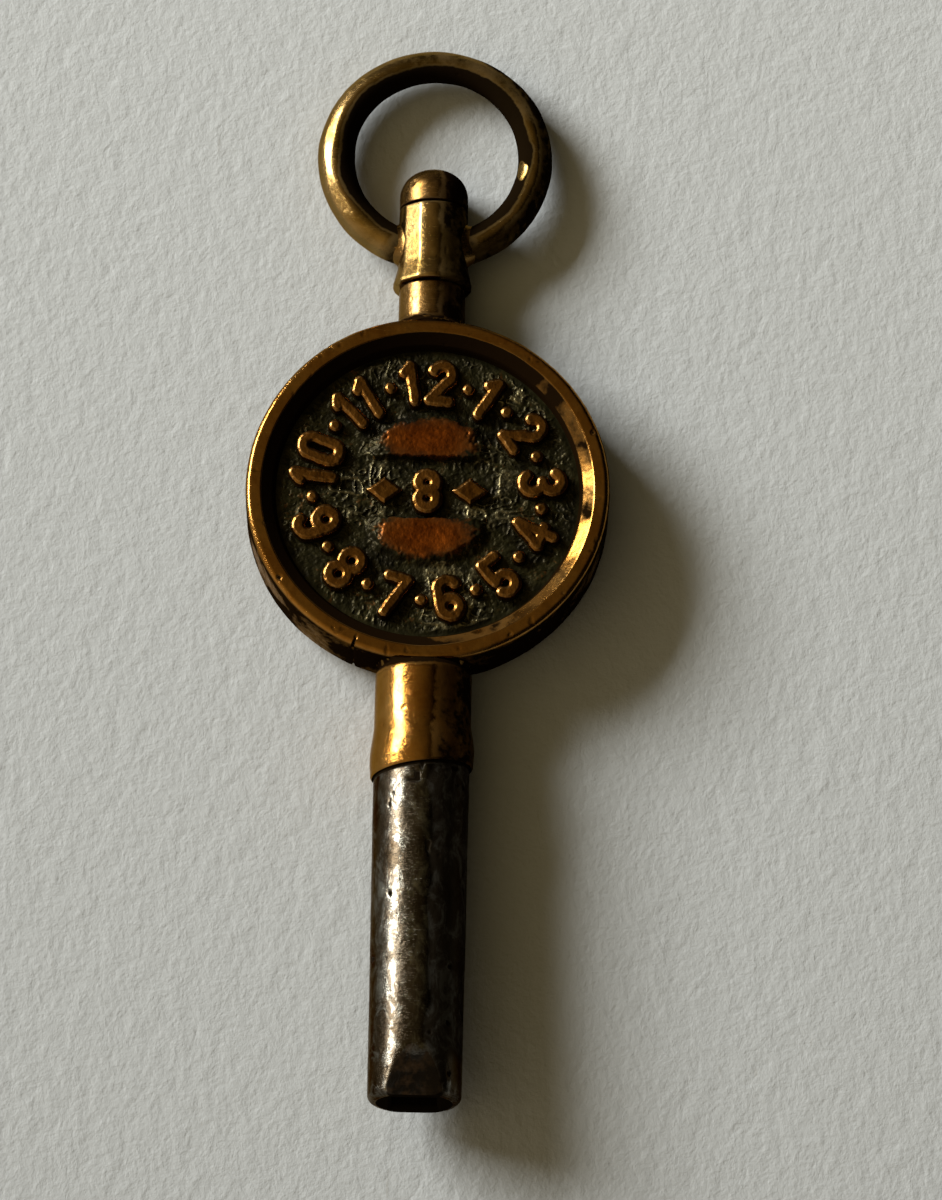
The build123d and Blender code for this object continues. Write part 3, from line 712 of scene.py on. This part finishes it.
def make_rim():
    angle = around(RIM_SIDES)
    corners = [(RIM_BORE, 0), (RIM_BORE, FIELD_Z), (RIM_BORE + BEVEL_START, RIM_FACE_Z - BEVEL_DROP)]
    corners += [(LAND_RADIUS, RIM_FACE_Z), (RIM_RADIUS, RIM_FACE_Z), (RIM_RADIUS, 0)]
    face = rounded_path(corners, [0, BEVEL_ROUND, LAND_ROUND, RIM_EDGE_ROUND])
    outline = np.concatenate([face, face[::-1][1:-1] * (1, -1)])
    radius, height = outline[:, :1] + 0 * angle, outline[:, 1:] + 0 * angle
    spots = np.stack([radius * np.cos(angle), radius * np.sin(angle), height], -1)
    shown = radius > RIM_BORE + 0.03
    wave = 0.022 * noise(spots, 3.4, 12) + 0.010 * noise(spots, 1.1, 13) + 0.004 * rough(spots, 0.4, 14)
    deep = 0.014 * scuffs(spots, 0.34, 0.15, 15, 0.80, 1.05)
    for pit_angle, pit_width, pit_depth in RIM_PITS:
        place, way = RIM_RADIUS - RIM_PIT_INSET, radians(pit_angle)
        away = np.linalg.norm(spots - (place * cos(way), place * sin(way), RIM_FACE_Z), axis=-1)
        away = away + 0.04 * noise(spots, 0.1, 18)
        deep = np.maximum(deep, pit_depth * (1 - ease(away, 0.2 * pit_width, pit_width)))
    turn = np.angle(np.exp(1j * (angle - radians(SEAM_ANGLE))))
    crook = 0.03 * noise(spots, 0.35, 17)
    seam = 1 - ease(np.abs(turn * RIM_RADIUS + crook), 0.01, 0.06)
    nick = ease(radius, RIM_RADIUS - 0.38, RIM_RADIUS - 0.2)
    nick = nick * ease(np.abs(height), RIM_FACE_Z - 0.4, RIM_FACE_Z - 0.2)
    seam = seam * (0.25 * ease(radius, RIM_RADIUS - 0.5, RIM_RADIUS - 0.3) + 0.75 * nick)
    outward = ease(radius, LAND_RADIUS + 0.2, RIM_RADIUS)
    cut = deep + SEAM_DEPTH * seam
    toward = np.sign(height) * (np.abs(height) > RIM_FACE_Z - 0.3)
    height = height + shown * toward * (0.5 * wave - 0.8 * cut - WEAR_ROOM)
    radius = radius + shown * (outward * (wave - cut - RIM_WORN) + 0.5 * (1 - outward) * wave)
    x, y = radius * np.cos(angle), DISC_Y + radius * np.sin(angle)
    rings = np.stack([x, y, height], -1)
    inside = ease(radius, LAND_RADIUS + 0.02, LAND_RADIUS - 0.06)
    foot = inside * ease(np.abs(height), RIM_FACE_Z - 0.22, RIM_FACE_Z - 0.30)
    # Painted shade on the inner wall all round, thinned to dust where the wall faces the window
    facing = ease(np.cos(angle - radians(LIT_WALL_ANGLE)), 0.1, 0.55)
    shade_and_dust = inside * (1 - facing * (0.49 + 0.42 * noise(spots, 0.6, 20)))
    wall = ease(radius, RIM_RADIUS - 0.07, RIM_RADIUS - 0.02)
    wall = wall * (0.72 + 0.25 * noise(spots, 1.3, 19))
    dirt_and_shade = np.maximum(np.maximum(foot, shade_and_dust), np.maximum(seam, deep / 0.06))
    marks = {"dirt_and_shade": np.maximum(dirt_and_shade, wall)}
    make_piece("disc_rim", skin(rings, wrap=True), "key", "rim", RED_BRASS, marks)


def even_disc(count):
    """Square lattice of points spread evenly over a disc, so that its edge is a true circle."""
    side = np.linspace(-1, 1, count)
    a, b = np.meshgrid(side, side)
    wide = np.abs(a) > np.abs(b)
    reach = np.where(wide, a, b)
    turn_wide = pi / 4 * b / np.where(wide, a, 1)
    turn_tall = pi / 2 - pi / 4 * a / np.where(wide | (b == 0), 1, b)
    turn = np.where(wide, turn_wide, turn_tall)
    return RIM_BORE * reach * np.cos(turn), RIM_BORE * reach * np.sin(turn)


def line_distance(x, y, start, end):
    dx, dy = x - start[0], y - start[1]
    run_x, run_y = end[0] - start[0], end[1] - start[1]
    t = np.clip((dx * run_x + dy * run_y) / (run_x**2 + run_y**2), 0, 1)
    return np.hypot(dx - t * run_x, dy - t * run_y)


def arc_distance(x, y, centre, radius, start, turn):
    dx, dy = x - centre[0], y - centre[1]
    within = (np.degrees(np.arctan2(dy, dx)) - start) % 360 <= turn
    turns = radians(start), radians(start + turn)
    ends = [np.hypot(dx - radius * cos(turn), dy - radius * sin(turn)) for turn in turns]
    return np.where(within, np.abs(np.hypot(dx, dy) - radius), np.minimum(*ends))


def digit_distance(x, y, digit, height, stroke):
    """Distance outside the strokes of one digit, negative inside them."""
    bowl = (height - stroke) / 4
    best = np.full(x.shape, height)
    lines, arcs = DIGIT_STROKES[digit]
    for line in lines:
        ends = [tuple(bowl * v for v in end) for end in line]
        best = np.minimum(best, line_distance(x, y, *ends))
    for centre, start, turn in arcs:
        middle = tuple(bowl * v for v in centre)
        best = np.minimum(best, arc_distance(x, y, middle, bowl, start, turn))
    return best - stroke / 2


def digit_width(digit, height, stroke):
    bowl = (height - stroke) / 4
    return 2 * bowl * (NARROW_DIGIT_SHARE if digit == NARROW_DIGIT else 1) + stroke


def turned_in(x, y, angle, upright=True):
    """Points in the frame of what stands on the number ring at an angle clockwise from the top."""
    turn = radians(-angle if upright else 180 - angle)
    dx = x - NUMBER_RADIUS * sin(radians(angle))
    dy = y - NUMBER_RADIUS * cos(radians(angle))
    return dx * cos(turn) + dy * sin(turn), dy * cos(turn) - dx * sin(turn)


def number_width(number):
    widths = [digit_width(digit, NUMBER_HEIGHT, NUMBER_STROKE) for digit in str(number)]
    return sum(widths) + DIGIT_GAP * (len(widths) - 1)


def number_ring_distance(x, y):
    """Distance outside the numbers round the ring and the pips between them."""
    spare = 2 * pi * NUMBER_RADIUS - sum(number_width(number) for number in NUMBERS)
    gap = spare / len(NUMBERS)
    best = np.full(x.shape, NUMBER_HEIGHT)
    along = number_width(NUMBERS[-1]) / 2
    for number in NUMBERS:
        pip = np.hypot(*turned_in(x, y, degrees_round(along + gap / 2))) - PIP_RADIUS
        best = np.minimum(best, pip)
        half = number_width(number) / 2
        along += gap + 2 * half
        middle = degrees_round(along - half)
        upright = cos(radians(middle)) > LOWER_HALF_SHARE
        start = -half
        for digit in str(number):
            width = digit_width(digit, NUMBER_HEIGHT, NUMBER_STROKE)
            offset = degrees_round(start + width / 2)
            local = turned_in(x, y, middle + (offset if upright else -offset), upright)
            best = np.minimum(best, digit_distance(*local, digit, NUMBER_HEIGHT, NUMBER_STROKE))
            start += width + DIGIT_GAP
    return best


def degrees_round(arc):
    """Angle that a length takes up on the number ring."""
    return arc / NUMBER_RADIUS * 180 / pi


def lozenge_distance(x, y):
    half_w, half_h = LOZENGE_WIDTH / 2, LOZENGE_HEIGHT / 2
    return (np.abs(x) / half_w + np.abs(y) / half_h - 1) * half_w * half_h / hypot(half_w, half_h)


def bar_ring_distance(x, y):
    """Distance outside the bars and pips on the plain side."""
    best = np.full(x.shape, NUMBER_HEIGHT)
    for place in range(BARS):
        dx, dy = turned_in(x, y, place * 360 / BARS)
        bar = np.maximum(np.abs(dx) - BAR_WIDTH / 2, np.abs(dy) - NUMBER_HEIGHT / 2)
        pip = np.hypot(*turned_in(x, y, (place + 0.5) * 360 / BARS)) - PIP_RADIUS
        best = np.minimum(best, np.minimum(bar, pip))
    return best


def front_shapes(x, y):
    """Distance outside the raised numbers and lozenges of the numbered side."""
    centre = digit_distance(x, y, CENTRE_NUMBER, CENTRE_HEIGHT, CENTRE_STROKE)
    reach = digit_width(CENTRE_NUMBER, CENTRE_HEIGHT, CENTRE_STROKE) / 2 + CENTRE_GAP
    place = reach + LOZENGE_WIDTH / 2
    sides = np.minimum(lozenge_distance(x - place, y), lozenge_distance(x + place, y))
    return np.minimum(np.minimum(centre, sides), number_ring_distance(x, y))


def back_shapes(x, y):
    """Distance outside the raised bars and lozenges of the plain side."""
    best = bar_ring_distance(x, y)
    for place in (-1, 0, 1):
        best = np.minimum(best, lozenge_distance(x - place * (LOZENGE_WIDTH + CENTRE_GAP), y))
    return best


# Raised figures are a little broader than drawn, with a steep wall outside and a bevel inside.
# The ground round them has ridges, and the medallion falls away at its tips.
FIGURE_SPREAD = 0.026
WALL_FOOT = 0.06
WALL_SHARE = 0.84
BEVEL = 0.080
PLATE_WORN = 0.02
RIDGE_HEIGHT = 0.100
MEDALLION_TOP_RADIUS = 2.30
TIP_START_X = 1.35
TIP_END_X = 2.25


def make_plate(name, node, shapes, count, side, seed):
    """Stamped plate as a height over an even disc, with a wall and a flat back."""
    x, y = even_disc(count)
    spots = np.stack([x, y, np.full(x.shape, float(seed))], -1)
    ragged = 0.022 * rough(spots, 0.32, 20) + 0.010 * noise(spots, 0.09, 21)
    outside = shapes(x, y) - FIGURE_SPREAD + ragged
    wall = ease(-outside, -WALL_FOOT, 0)
    bevel = soft_least(-outside / BEVEL, 1 + 0 * x, 0.1).clip(0, 1)
    figure = WALL_SHARE * wall + (1 - WALL_SHARE) * bevel
    from_centre = np.hypot(x, y)
    off_middle = np.abs(y - MEDALLION_SHIFT)
    from_medal = np.hypot(x, off_middle)
    in_band = BAND_HEIGHT / 2 - off_middle + 2 * ragged
    segment = 1 - ease(from_medal + 3 * ragged, MEDALLION_TOP_RADIUS, MEDALLION_RADIUS)
    segment = segment * ease(-in_band, -0.04, 0.10)
    segment = segment * (1 - ease(np.abs(x) + 8 * ragged, TIP_START_X, TIP_END_X))
    relief = np.maximum(0.98 * figure, 0.93 * segment)
    ridge = np.maximum(ridged(spots, 0.42, 22), 0.85 * ridged(spots, 0.19, 23))
    ground = (1 - ease(relief, 0.25, 0.85)) * ease(RIM_BORE - from_centre, 0.0, 0.25)
    height = FIELD_Z - PLATE_WORN + RELIEF * relief
    lively = 0.35 + 0.65 * ease(noise(spots, 1.1, 28), -0.35, 0.45)
    ridge = ridge * lively
    height = height + ground * (RIDGE_HEIGHT * ridge + 0.018 * rough(spots, 0.14, 24) - 0.03)
    height = height + 0.016 * noise(spots, 0.7, 25) + 0.007 * rough(spots, 0.22, 26)
    patchy = 0.10 * rough(spots, 0.5, 27)
    rubbed = 1.2 - np.hypot(x / 1.75, (off_middle - 1.70) / 0.85) + patchy
    copper = segment * ease(rubbed, -0.1, 1.05) * (figure < 0.1)
    relief = np.where(segment > figure, 0.12 * segment, figure)

    index = np.arange(count * count).reshape(count, count)
    quads = np.stack([index[:-1, :-1], index[:-1, 1:], index[1:, 1:], index[1:, :-1]], -1)
    edge = np.concatenate([index[0, :-1], index[:-1, -1], index[-1, :0:-1], index[:0:-1, 0]])
    top = np.stack([side * x, DISC_Y + y, side * height], -1).reshape(-1, 3)
    wall = top[edge].copy()
    wall[:, 2] = side * PLATE_BACK_Z
    points = np.vstack([top, wall, [(0, DISC_Y, side * PLATE_BACK_Z)]])
    faces = quads.reshape(-1, 4).tolist()
    start, total = len(top), len(edge)
    for i in range(total):
        after = (i + 1) % total
        faces.append([int(edge[after]), int(edge[i]), start + i, start + after])
        faces.append([start + after, start + i, len(points) - 1])
    marks = {"relief": relief, "copper": copper, "ridge": ridge * ground}
    make_piece(name, (points, faces), "key", node, PLATE_BRASS, marks)


def turned_piece(
    name, outline, body, node, material, seed, dirt_and_shade, waver=WEAR_ROOM, wrap=False, tangs=(), flat=None
):
    """Turned piece with a hand-worn surface.

    dirt_and_shade is the grime on each ring, to which painted shade on the far side is added, waver the
    depth of the waves, tangs are hidden boxes, and flat is a rubbed flat, as its angle and its share of
    the radius.
    """
    angle = around(TURNED_SIDES)
    radius, along = outline[:, :1], outline[:, 1:]
    rings = spun(radius, along, TURNED_SIDES)
    change = waver * noise(rings, 1.2, seed) + 0.5 * waver * rough(rings, 0.4, seed + 1)
    change = change - TURNED_SCUFF_DEPTH * scuffs(rings, 0.3, 0.13, seed + 2, 0.75, 1.0)
    shown = radius > 1.0
    radius = radius + shown * (change - waver)
    if flat:
        flat_angle, flat_share = flat
        facing = np.maximum(np.cos(angle - radians(flat_angle)), 0.2)
        radius = np.where(shown, soft_least(radius, outline[:, :1] * flat_share / facing, 0.008), radius)
    shell = joined(skin(spun(radius, along, TURNED_SIDES), wrap), *tangs)
    # Painted shade on the side away from the window is added to the grime
    make_piece(name, shell, body, node, material, {"dirt_and_shade": np.maximum(dirt_and_shade, far_side(angle))})


def make_neck():
    foot_y = RIM_TOP_Y - NECK_SUNK
    corners = [(END_FACE_RADIUS, foot_y), (NECK_RADIUS, foot_y)]
    corners += [(NECK_RADIUS, NECK_TOP_Y), (END_FACE_RADIUS, NECK_TOP_Y)]
    outline = rounded_path(corners, [0, NECK_ROUND])
    dirt_and_shade = 0.8 * ease(outline[:, 1:], RIM_TOP_Y + 0.35, RIM_TOP_Y)
    tangs = [tang(neck_low[1], RIM_TOP_Y)]
    turned_piece("neck_post", outline, "key", "neck", POST_BRASS, 30, dirt_and_shade, tangs=tangs)


def make_pivot_pin():
    reach = HEAD_TOP_Y - HEAD_WALL_TOP_Y
    corners = [(PIN_FACE_RADIUS, PIN_END_Y), (PIN_RADIUS, PIN_END_Y), (PIN_RADIUS, HEAD_LOW_Y)]
    corners += [(HEAD_RADIUS, HEAD_LOW_Y), (HEAD_RADIUS, HEAD_WALL_TOP_Y - PIN_ROOM)]
    crown = [
        (HEAD_RADIUS * cos(turn) ** HEAD_POWER, HEAD_WALL_TOP_Y + reach * sin(turn) ** HEAD_POWER)
        for turn in np.linspace(0, pi / 2, CROWN_STEPS + 1)[:-1]
    ]
    outline = divided(list(rounded_path(corners, [0, 0, HEAD_ROUND])) + crown, STEP)
    dirt_and_shade = 0.9 * ease(outline[:, 1:], HEAD_LOW_Y + 0.12, HEAD_LOW_Y)
    turned_piece("pivot_head", outline, "key", "pivot_pin", POST_BRASS, 34, dirt_and_shade)


# Rubbed flat on the sleeve, which faces the window
SLEEVE_FLAT_ANGLE = 128
SLEEVE_FLAT_SHARE = 0.955


def make_sleeve():
    corners = [(SLEEVE_BORE, SLEEVE_SEAM_Y), (SLEEVE_BORE, SLEEVE_LOW_Y), (FLANGE_RADIUS, SLEEVE_LOW_Y)]
    corners += [(FLANGE_RADIUS, SLEEVE_LOW_Y + FLANGE_LIP), (SLEEVE_RADIUS + FLARE_SPREAD, FLARE_TOP_Y)]
    corners += [(SLEEVE_RADIUS, SLEEVE_TOP_Y), (SLEEVE_BORE, SLEEVE_TOP_Y)]
    corners += [(SLEEVE_BORE, SLEEVE_SEAM_END_Y)]
    outline = rounded_path(corners, SLEEVE_ROUNDS)
    dirt_and_shade = 0.5 * ease(outline[:, 1:], SLEEVE_TOP_Y - 0.12, SLEEVE_TOP_Y)
    turned_piece(
        "bow_sleeve", outline, "bow", "swivel_sleeve", YELLOW_BRASS, 38, dirt_and_shade,
        waver=0.010, wrap=True, flat=(SLEEVE_FLAT_ANGLE, SLEEVE_FLAT_SHARE),
    )


# Worn radius of the bow's wire, as shares of its full radius at angles round the ring from +X
WIRE_ANGLES = (-60, -30, 0, 45, 90, 135, 180, 240)
WIRE_SHARES = (1.0, 0.98, 0.94, 0.92, 0.89, 0.96, 1.04, 1.0)


def wire_radius(turn):
    return WIRE_RADIUS * np.interp(np.degrees(turn), WIRE_ANGLES, WIRE_SHARES)


# The one bright patch on the ring's inner side
GLINT_PLACE = (2.93, BOW_Y - 0.46, 0.42)
GLINT_SIZE = (0.14, 0.36, 0.2)

# Flat rubbed along the left of the ring: its tilt from outward toward +Z, and its depth
FACET_TILT = 60
FACET_SHARE = 0.055

# How far the wire's ends lie inside the sleeve, its wear, its room at the top, and the painted shade on
# its far side and top
WIRE_END_DEPTH = 0.31
WIRE_WORN = 0.010
BOW_TOP_ROOM = 0.003
BOW_FAR_SHADE = 0.68
BOW_TOP_SHADE = 0.38


def make_bow_wire():
    low = -pi / 2 + np.arcsin((SLEEVE_RADIUS - WIRE_END_DEPTH) / WIRE_PATH)
    high = pi - low
    count = int((high - low) * WIRE_PATH / STEP)
    turn = np.linspace(low, high, count)[:, None]
    section = around(WIRE_SIDES)
    radius = wire_radius(turn) + 0 * section
    middle = BOW_REACH - radius
    facet = 0.014 * np.cos(2 * section + 0.9) + 0.010 * np.cos(4 * section + 0.4)
    radius = radius * (1 + facet) - WIRE_WORN
    facing = np.maximum(np.cos(section - radians(FACET_TILT)), 0.2)
    rubbed = ease(np.degrees(turn), 115, 150) * ease(np.degrees(turn), 245, 215)
    facet = wire_radius(turn) * (1 - FACET_SHARE * rubbed * (1 + 0.35 * np.sin(9 * turn))) / facing
    radius = soft_least(radius, np.where(rubbed > 0, facet, 2 * radius), 0.010)
    for step in range(2):
        out = middle + radius * np.cos(section)
        rings = np.stack([out * np.cos(turn), BOW_Y + out * np.sin(turn), radius * np.sin(section)], -1)
        if step == 0:
            change = 0.020 * noise(rings, 1.1, 42) + 0.010 * noise(rings, 0.45, 43)
            radius = radius + change - SCUFF_DEPTH * scuffs(rings, 0.28, 0.12, 44, 0.78, 1.0)
    rings[..., 1] = soft_least(rings[..., 1], BOW_Y + BOW_REACH - BOW_TOP_ROOM, 0.02)
    near_end = np.minimum(turn - low, high - turn) * WIRE_PATH
    dirt_and_shade = 0.55 * ease(near_end, 0.9, 0.35) + 0 * section
    inner = ease(-np.cos(section) + 0.12 * noise(rings, 1.1, 46), -0.15, 0.5)
    glint = np.abs(rings - GLINT_PLACE) / GLINT_SIZE
    glint = np.hypot(glint[..., 0], glint[..., 1]) + 0.4 * noise(rings, 0.2, 47)
    # Painted shade on the ring's side away from the window and on its top
    far_shade = BOW_FAR_SHADE * ease(np.cos(turn) * np.cos(section), -0.05, 0.5)
    top = ease(np.sin(turn) + 0.5 * np.cos(turn), 0.3, 1.0)
    far_shade = np.maximum(far_shade, BOW_TOP_SHADE * top)
    dirt_and_shade = np.maximum(np.maximum(dirt_and_shade, far_shade), inner * ease(glint, 0.5, 1.5))
    make_piece("bow_ring", skin(rings), "bow", "bow_wire", YELLOW_BRASS, {"dirt_and_shade": dirt_and_shade})


# Solder: steps between a fillet's two edges, its thickness, how far it is sunk into its neighbours,
# and the size of the bow's collars
FILLET_STEPS = 14
FILLET_THICKNESS = 0.12
COLLAR_FOOT = 0.26
COLLAR_HEIGHT = 0.50
COLLAR_FIT_SHARE = 0.965
SOLDER_SUNK = 0.03


def on_wire(section, radius, turn, side):
    """Points round the wire's path at one distance from it, on one side of the sleeve."""
    out = WIRE_PATH + radius * np.cos(section)
    x, y = out * np.cos(turn), BOW_Y + out * np.sin(turn)
    return np.stack([side * x, y, radius * np.sin(section)], -1)


def against_sleeve(section, radius, depth):
    """Angle round the bow at which points at a distance from the wire's path meet the sleeve."""
    reach = np.sqrt((SLEEVE_RADIUS - depth) ** 2 - (radius * np.sin(section)) ** 2)
    return -np.arccos(reach / (WIRE_PATH + radius * np.cos(section)))


def make_bow_solder():
    """A hollow-sided collar of solder round each end of the wire, hugging the sleeve."""
    section = around(COLLAR_SIDES)[0]
    wire = COLLAR_FIT_SHARE * WIRE_RADIUS - WEAR_ROOM
    inner = wire - FILLET_THICKNESS
    shells, dirt_and_shade = [], []
    for side in (1, -1):
        wide = wire + COLLAR_FOOT * (0.8 + 0.2 * np.cos(section) ** 2)
        start = on_wire(section, wide, against_sleeve(section, wide, SOLDER_SUNK), side)
        corner_turn = against_sleeve(section, wire, SOLDER_SUNK)
        corner = on_wire(section, wire, corner_turn, side)
        end_turn = corner_turn + COLLAR_HEIGHT / WIRE_PATH
        end = on_wire(section, wire, end_turn, side)
        t = np.linspace(0, 1, FILLET_STEPS)[:, None, None]
        outer = (1 - t) ** 2 * start + 2 * t * (1 - t) * corner + t * t * end
        lumps = np.stack([noise(outer, 0.5, 50 + i) for i in range(3)], -1)
        outer = outer + 0.014 * lumps * np.sin(pi * t)
        inner_end = on_wire(section, inner, end_turn, side)
        inner_start = on_wire(section, inner, against_sleeve(section, inner, FILLET_THICKNESS), side)
        rings = np.concatenate([outer, [inner_end, inner_start]])
        shells.append(skin(rings, wrap=True))
        dirt_and_shade.append(np.zeros(rings.shape[:2]) + 0.35 * np.linspace(1, 0, len(rings))[:, None])
    marks = {"dirt_and_shade": np.array(dirt_and_shade)}
    make_piece("bow_joint_solder", joined(*shells), "bow", "bow_solder", SOLDER, marks)


def make_rim_fillet(name, node, post_radius, foot, height, side, seed):
    """Solder in the corner between a round post and the rim's outer wall, thickest on both sides."""
    angle = around(FILLET_SIDES)
    t = np.linspace(0, 1, FILLET_STEPS)[:, None]
    lump = 1 + 0.25 * np.cos(3 * angle + seed) + 0.15 * np.cos(7 * angle + 2 * seed)
    wide = np.cos(angle) ** 2
    outer = post_radius + foot * wide * lump * (1 - t) ** 2.2 - 0.01
    inner = post_radius - FILLET_THICKNESS + 0 * outer
    radius = np.concatenate([outer, inner])
    full_rise = height * (0.35 + 0.65 * wide)
    rise = np.concatenate([full_rise * t, full_rise * t[::-1]])
    x, z = radius * np.cos(angle), radius * np.sin(angle)
    wall = np.sqrt(RIM_RADIUS**2 - x * x) - SOLDER_SUNK
    rings = np.stack([x, DISC_Y + side * (wall + rise), z], -1)
    lumps = [noise(rings, 0.35, seed + i) + noise(rings, 0.14, seed + 5 + i) for i in range(3)]
    rings = rings + 0.016 * np.stack(lumps, -1)
    specks = ease(noise(rings[:FILLET_STEPS], 0.16, seed + 9), 0.25, 0.5)
    dirt_and_shade = np.concatenate([1 - 0.75 * specks, 0 * outer])
    make_piece(name, skin(rings, wrap=True), "key", node, SOLDER, {"dirt_and_shade": dirt_and_shade})


make_pipe()
make_ferrule()
make_rim()
make_plate("front_relief", "front_plate", front_shapes, PLATE_POINTS, side=1, seed=1)
make_plate("back_relief", "back_plate", back_shapes, BACK_PLATE_POINTS, side=-1, seed=2)
make_neck()
make_pivot_pin()
make_sleeve()
make_bow_wire()
make_bow_solder()
make_rim_fillet("neck_foot_solder", "neck_solder", NECK_RADIUS, foot=0.26, height=0.26, side=1, seed=60)
make_rim_fillet(
    "ferrule_top_solder", "ferrule_solder", FERRULE_RADIUS - 0.16, foot=0.14, height=0.24, side=-1, seed=70
)

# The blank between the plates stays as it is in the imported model
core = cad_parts["core"]
core.data.materials.clear()
core.data.materials.append(RED_BRASS)

# Floor: level paper that rises a little under the key, which rests on its bead and its disc's far edge
FLOOR_SIZE = 2400
FLOOR_LOW_Y = -14
FLOOR_HIGH_Y = 46
FLOOR_BEND = 0.25
FLOOR_STEP = 2
FLOOR_MARGIN = 20


def floor_height(along):
    """Height of the paper at a place along the key: a slope that levels off at both ends."""
    touch_y = FERRULE_EDGE_Y + BEAD_PEAK_SHARE * BEAD_HEIGHT
    slope = (BEAD_RADIUS - RIM_FACE_Z) / (DISC_Y + RIM_RADIUS - touch_y)
    low, high, height = ((y - touch_y) * slope - BEAD_RADIUS for y in (FLOOR_LOW_Y, FLOOR_HIGH_Y, along))
    return -soft_least(-soft_least(height, high, FLOOR_BEND), -low, FLOOR_BEND)


def make_floor():
    half = FLOOR_SIZE / 2
    bend = np.arange(FLOOR_LOW_Y - FLOOR_MARGIN, FLOOR_HIGH_Y + FLOOR_MARGIN + FLOOR_STEP, FLOOR_STEP)
    rows = [(y, floor_height(y)) for y in (-half, *bend, half)]
    points = [(x * MM, y * MM, z * MM) for y, z in rows for x in (-half, half)]
    faces = [(2 * i, 2 * i + 1, 2 * i + 3, 2 * i + 2) for i in range(len(rows) - 1)]
    mesh = bpy.data.meshes.new("paper")
    mesh.from_pydata(points, [], faces)
    mesh.shade_smooth()
    mesh.materials.append(paper())
    new_object("paper", mesh)


make_floor()

# Light: one long soft window low on the left, and a dim room
WINDOW_AWAY = 1100
WINDOW_RISE = 27
WINDOW_TURN = 30
WINDOW_LENGTH = 600
WINDOW_HEIGHT = 390
WINDOW_POWER = 24.8


def make_window():
    lamp = bpy.data.lights.new("window", "AREA")
    lamp.shape = "RECTANGLE"
    lamp.size, lamp.size_y = WINDOW_LENGTH * MM, WINDOW_HEIGHT * MM
    lamp.energy = WINDOW_POWER
    lamp.color = (1.0, 1.0, 0.97)
    window = new_object("window", lamp)
    rise, turn = radians(WINDOW_RISE), radians(WINDOW_TURN)
    way = Vector((-cos(rise) * cos(turn), cos(rise) * sin(turn), sin(rise)))
    window.location = (Vector((0, DISC_Y, 0)) + way * WINDOW_AWAY) * MM
    window.rotation_euler = (-way).to_track_quat("-Z", "Y").to_euler()


def make_room():
    """Dim world: pale on the window's side, warm and dim overhead, black on the far side."""
    world = bpy.data.worlds.new("room")
    bpy.context.scene.world = world
    s = Shader(world, "BACKGROUND", "Generated")
    x, y, z = (s.add("ShaderNodeSeparateXYZ", {"Vector": s.place}, axis) for axis in "XYZ")
    glow = s.times(s.ramp(x, -1, 0.42, 0.66, 0.010), s.ramp(y, -0.2, 0.9, 1.25, 0.45))
    s.set(strength=glow, color=s.mix(s.ramp(z, 0.3, 0.8), (1, 0.88, 0.72), (1, 0.76, 0.34)))


make_window()
make_room()

# Camera: the photograph's viewing angle, found from the disc, the pipe and the bow
CAMERA_TILT = 18.9
CAMERA_ROLL = 1.12
CAMERA_AWAY = 200
CAMERA_TARGET = (1.50, 17.04, 0)
PICTURE_HEIGHT_PX = 1200
PX_PER_MM = 30.45
SENSOR = 36


def make_camera():
    lens = bpy.data.cameras.new("camera")
    lens.sensor_width = SENSOR
    lens.lens = SENSOR * PX_PER_MM * CAMERA_AWAY / PICTURE_HEIGHT_PX
    lens.clip_start, lens.clip_end = 1 * MM, 10 * FLOOR_SIZE * MM
    camera = new_object("camera", lens)
    tilt = Matrix.Rotation(radians(CAMERA_TILT), 4, "X")
    roll = Matrix.Rotation(radians(CAMERA_ROLL), 4, "Z")
    target = Matrix.Translation(Vector(CAMERA_TARGET) * MM)
    camera.matrix_world = target @ tilt @ roll @ Matrix.Translation((0, 0, CAMERA_AWAY * MM))
    bpy.context.scene.camera = camera


make_camera()
bpy.context.scene.view_settings.view_transform = "Standard"
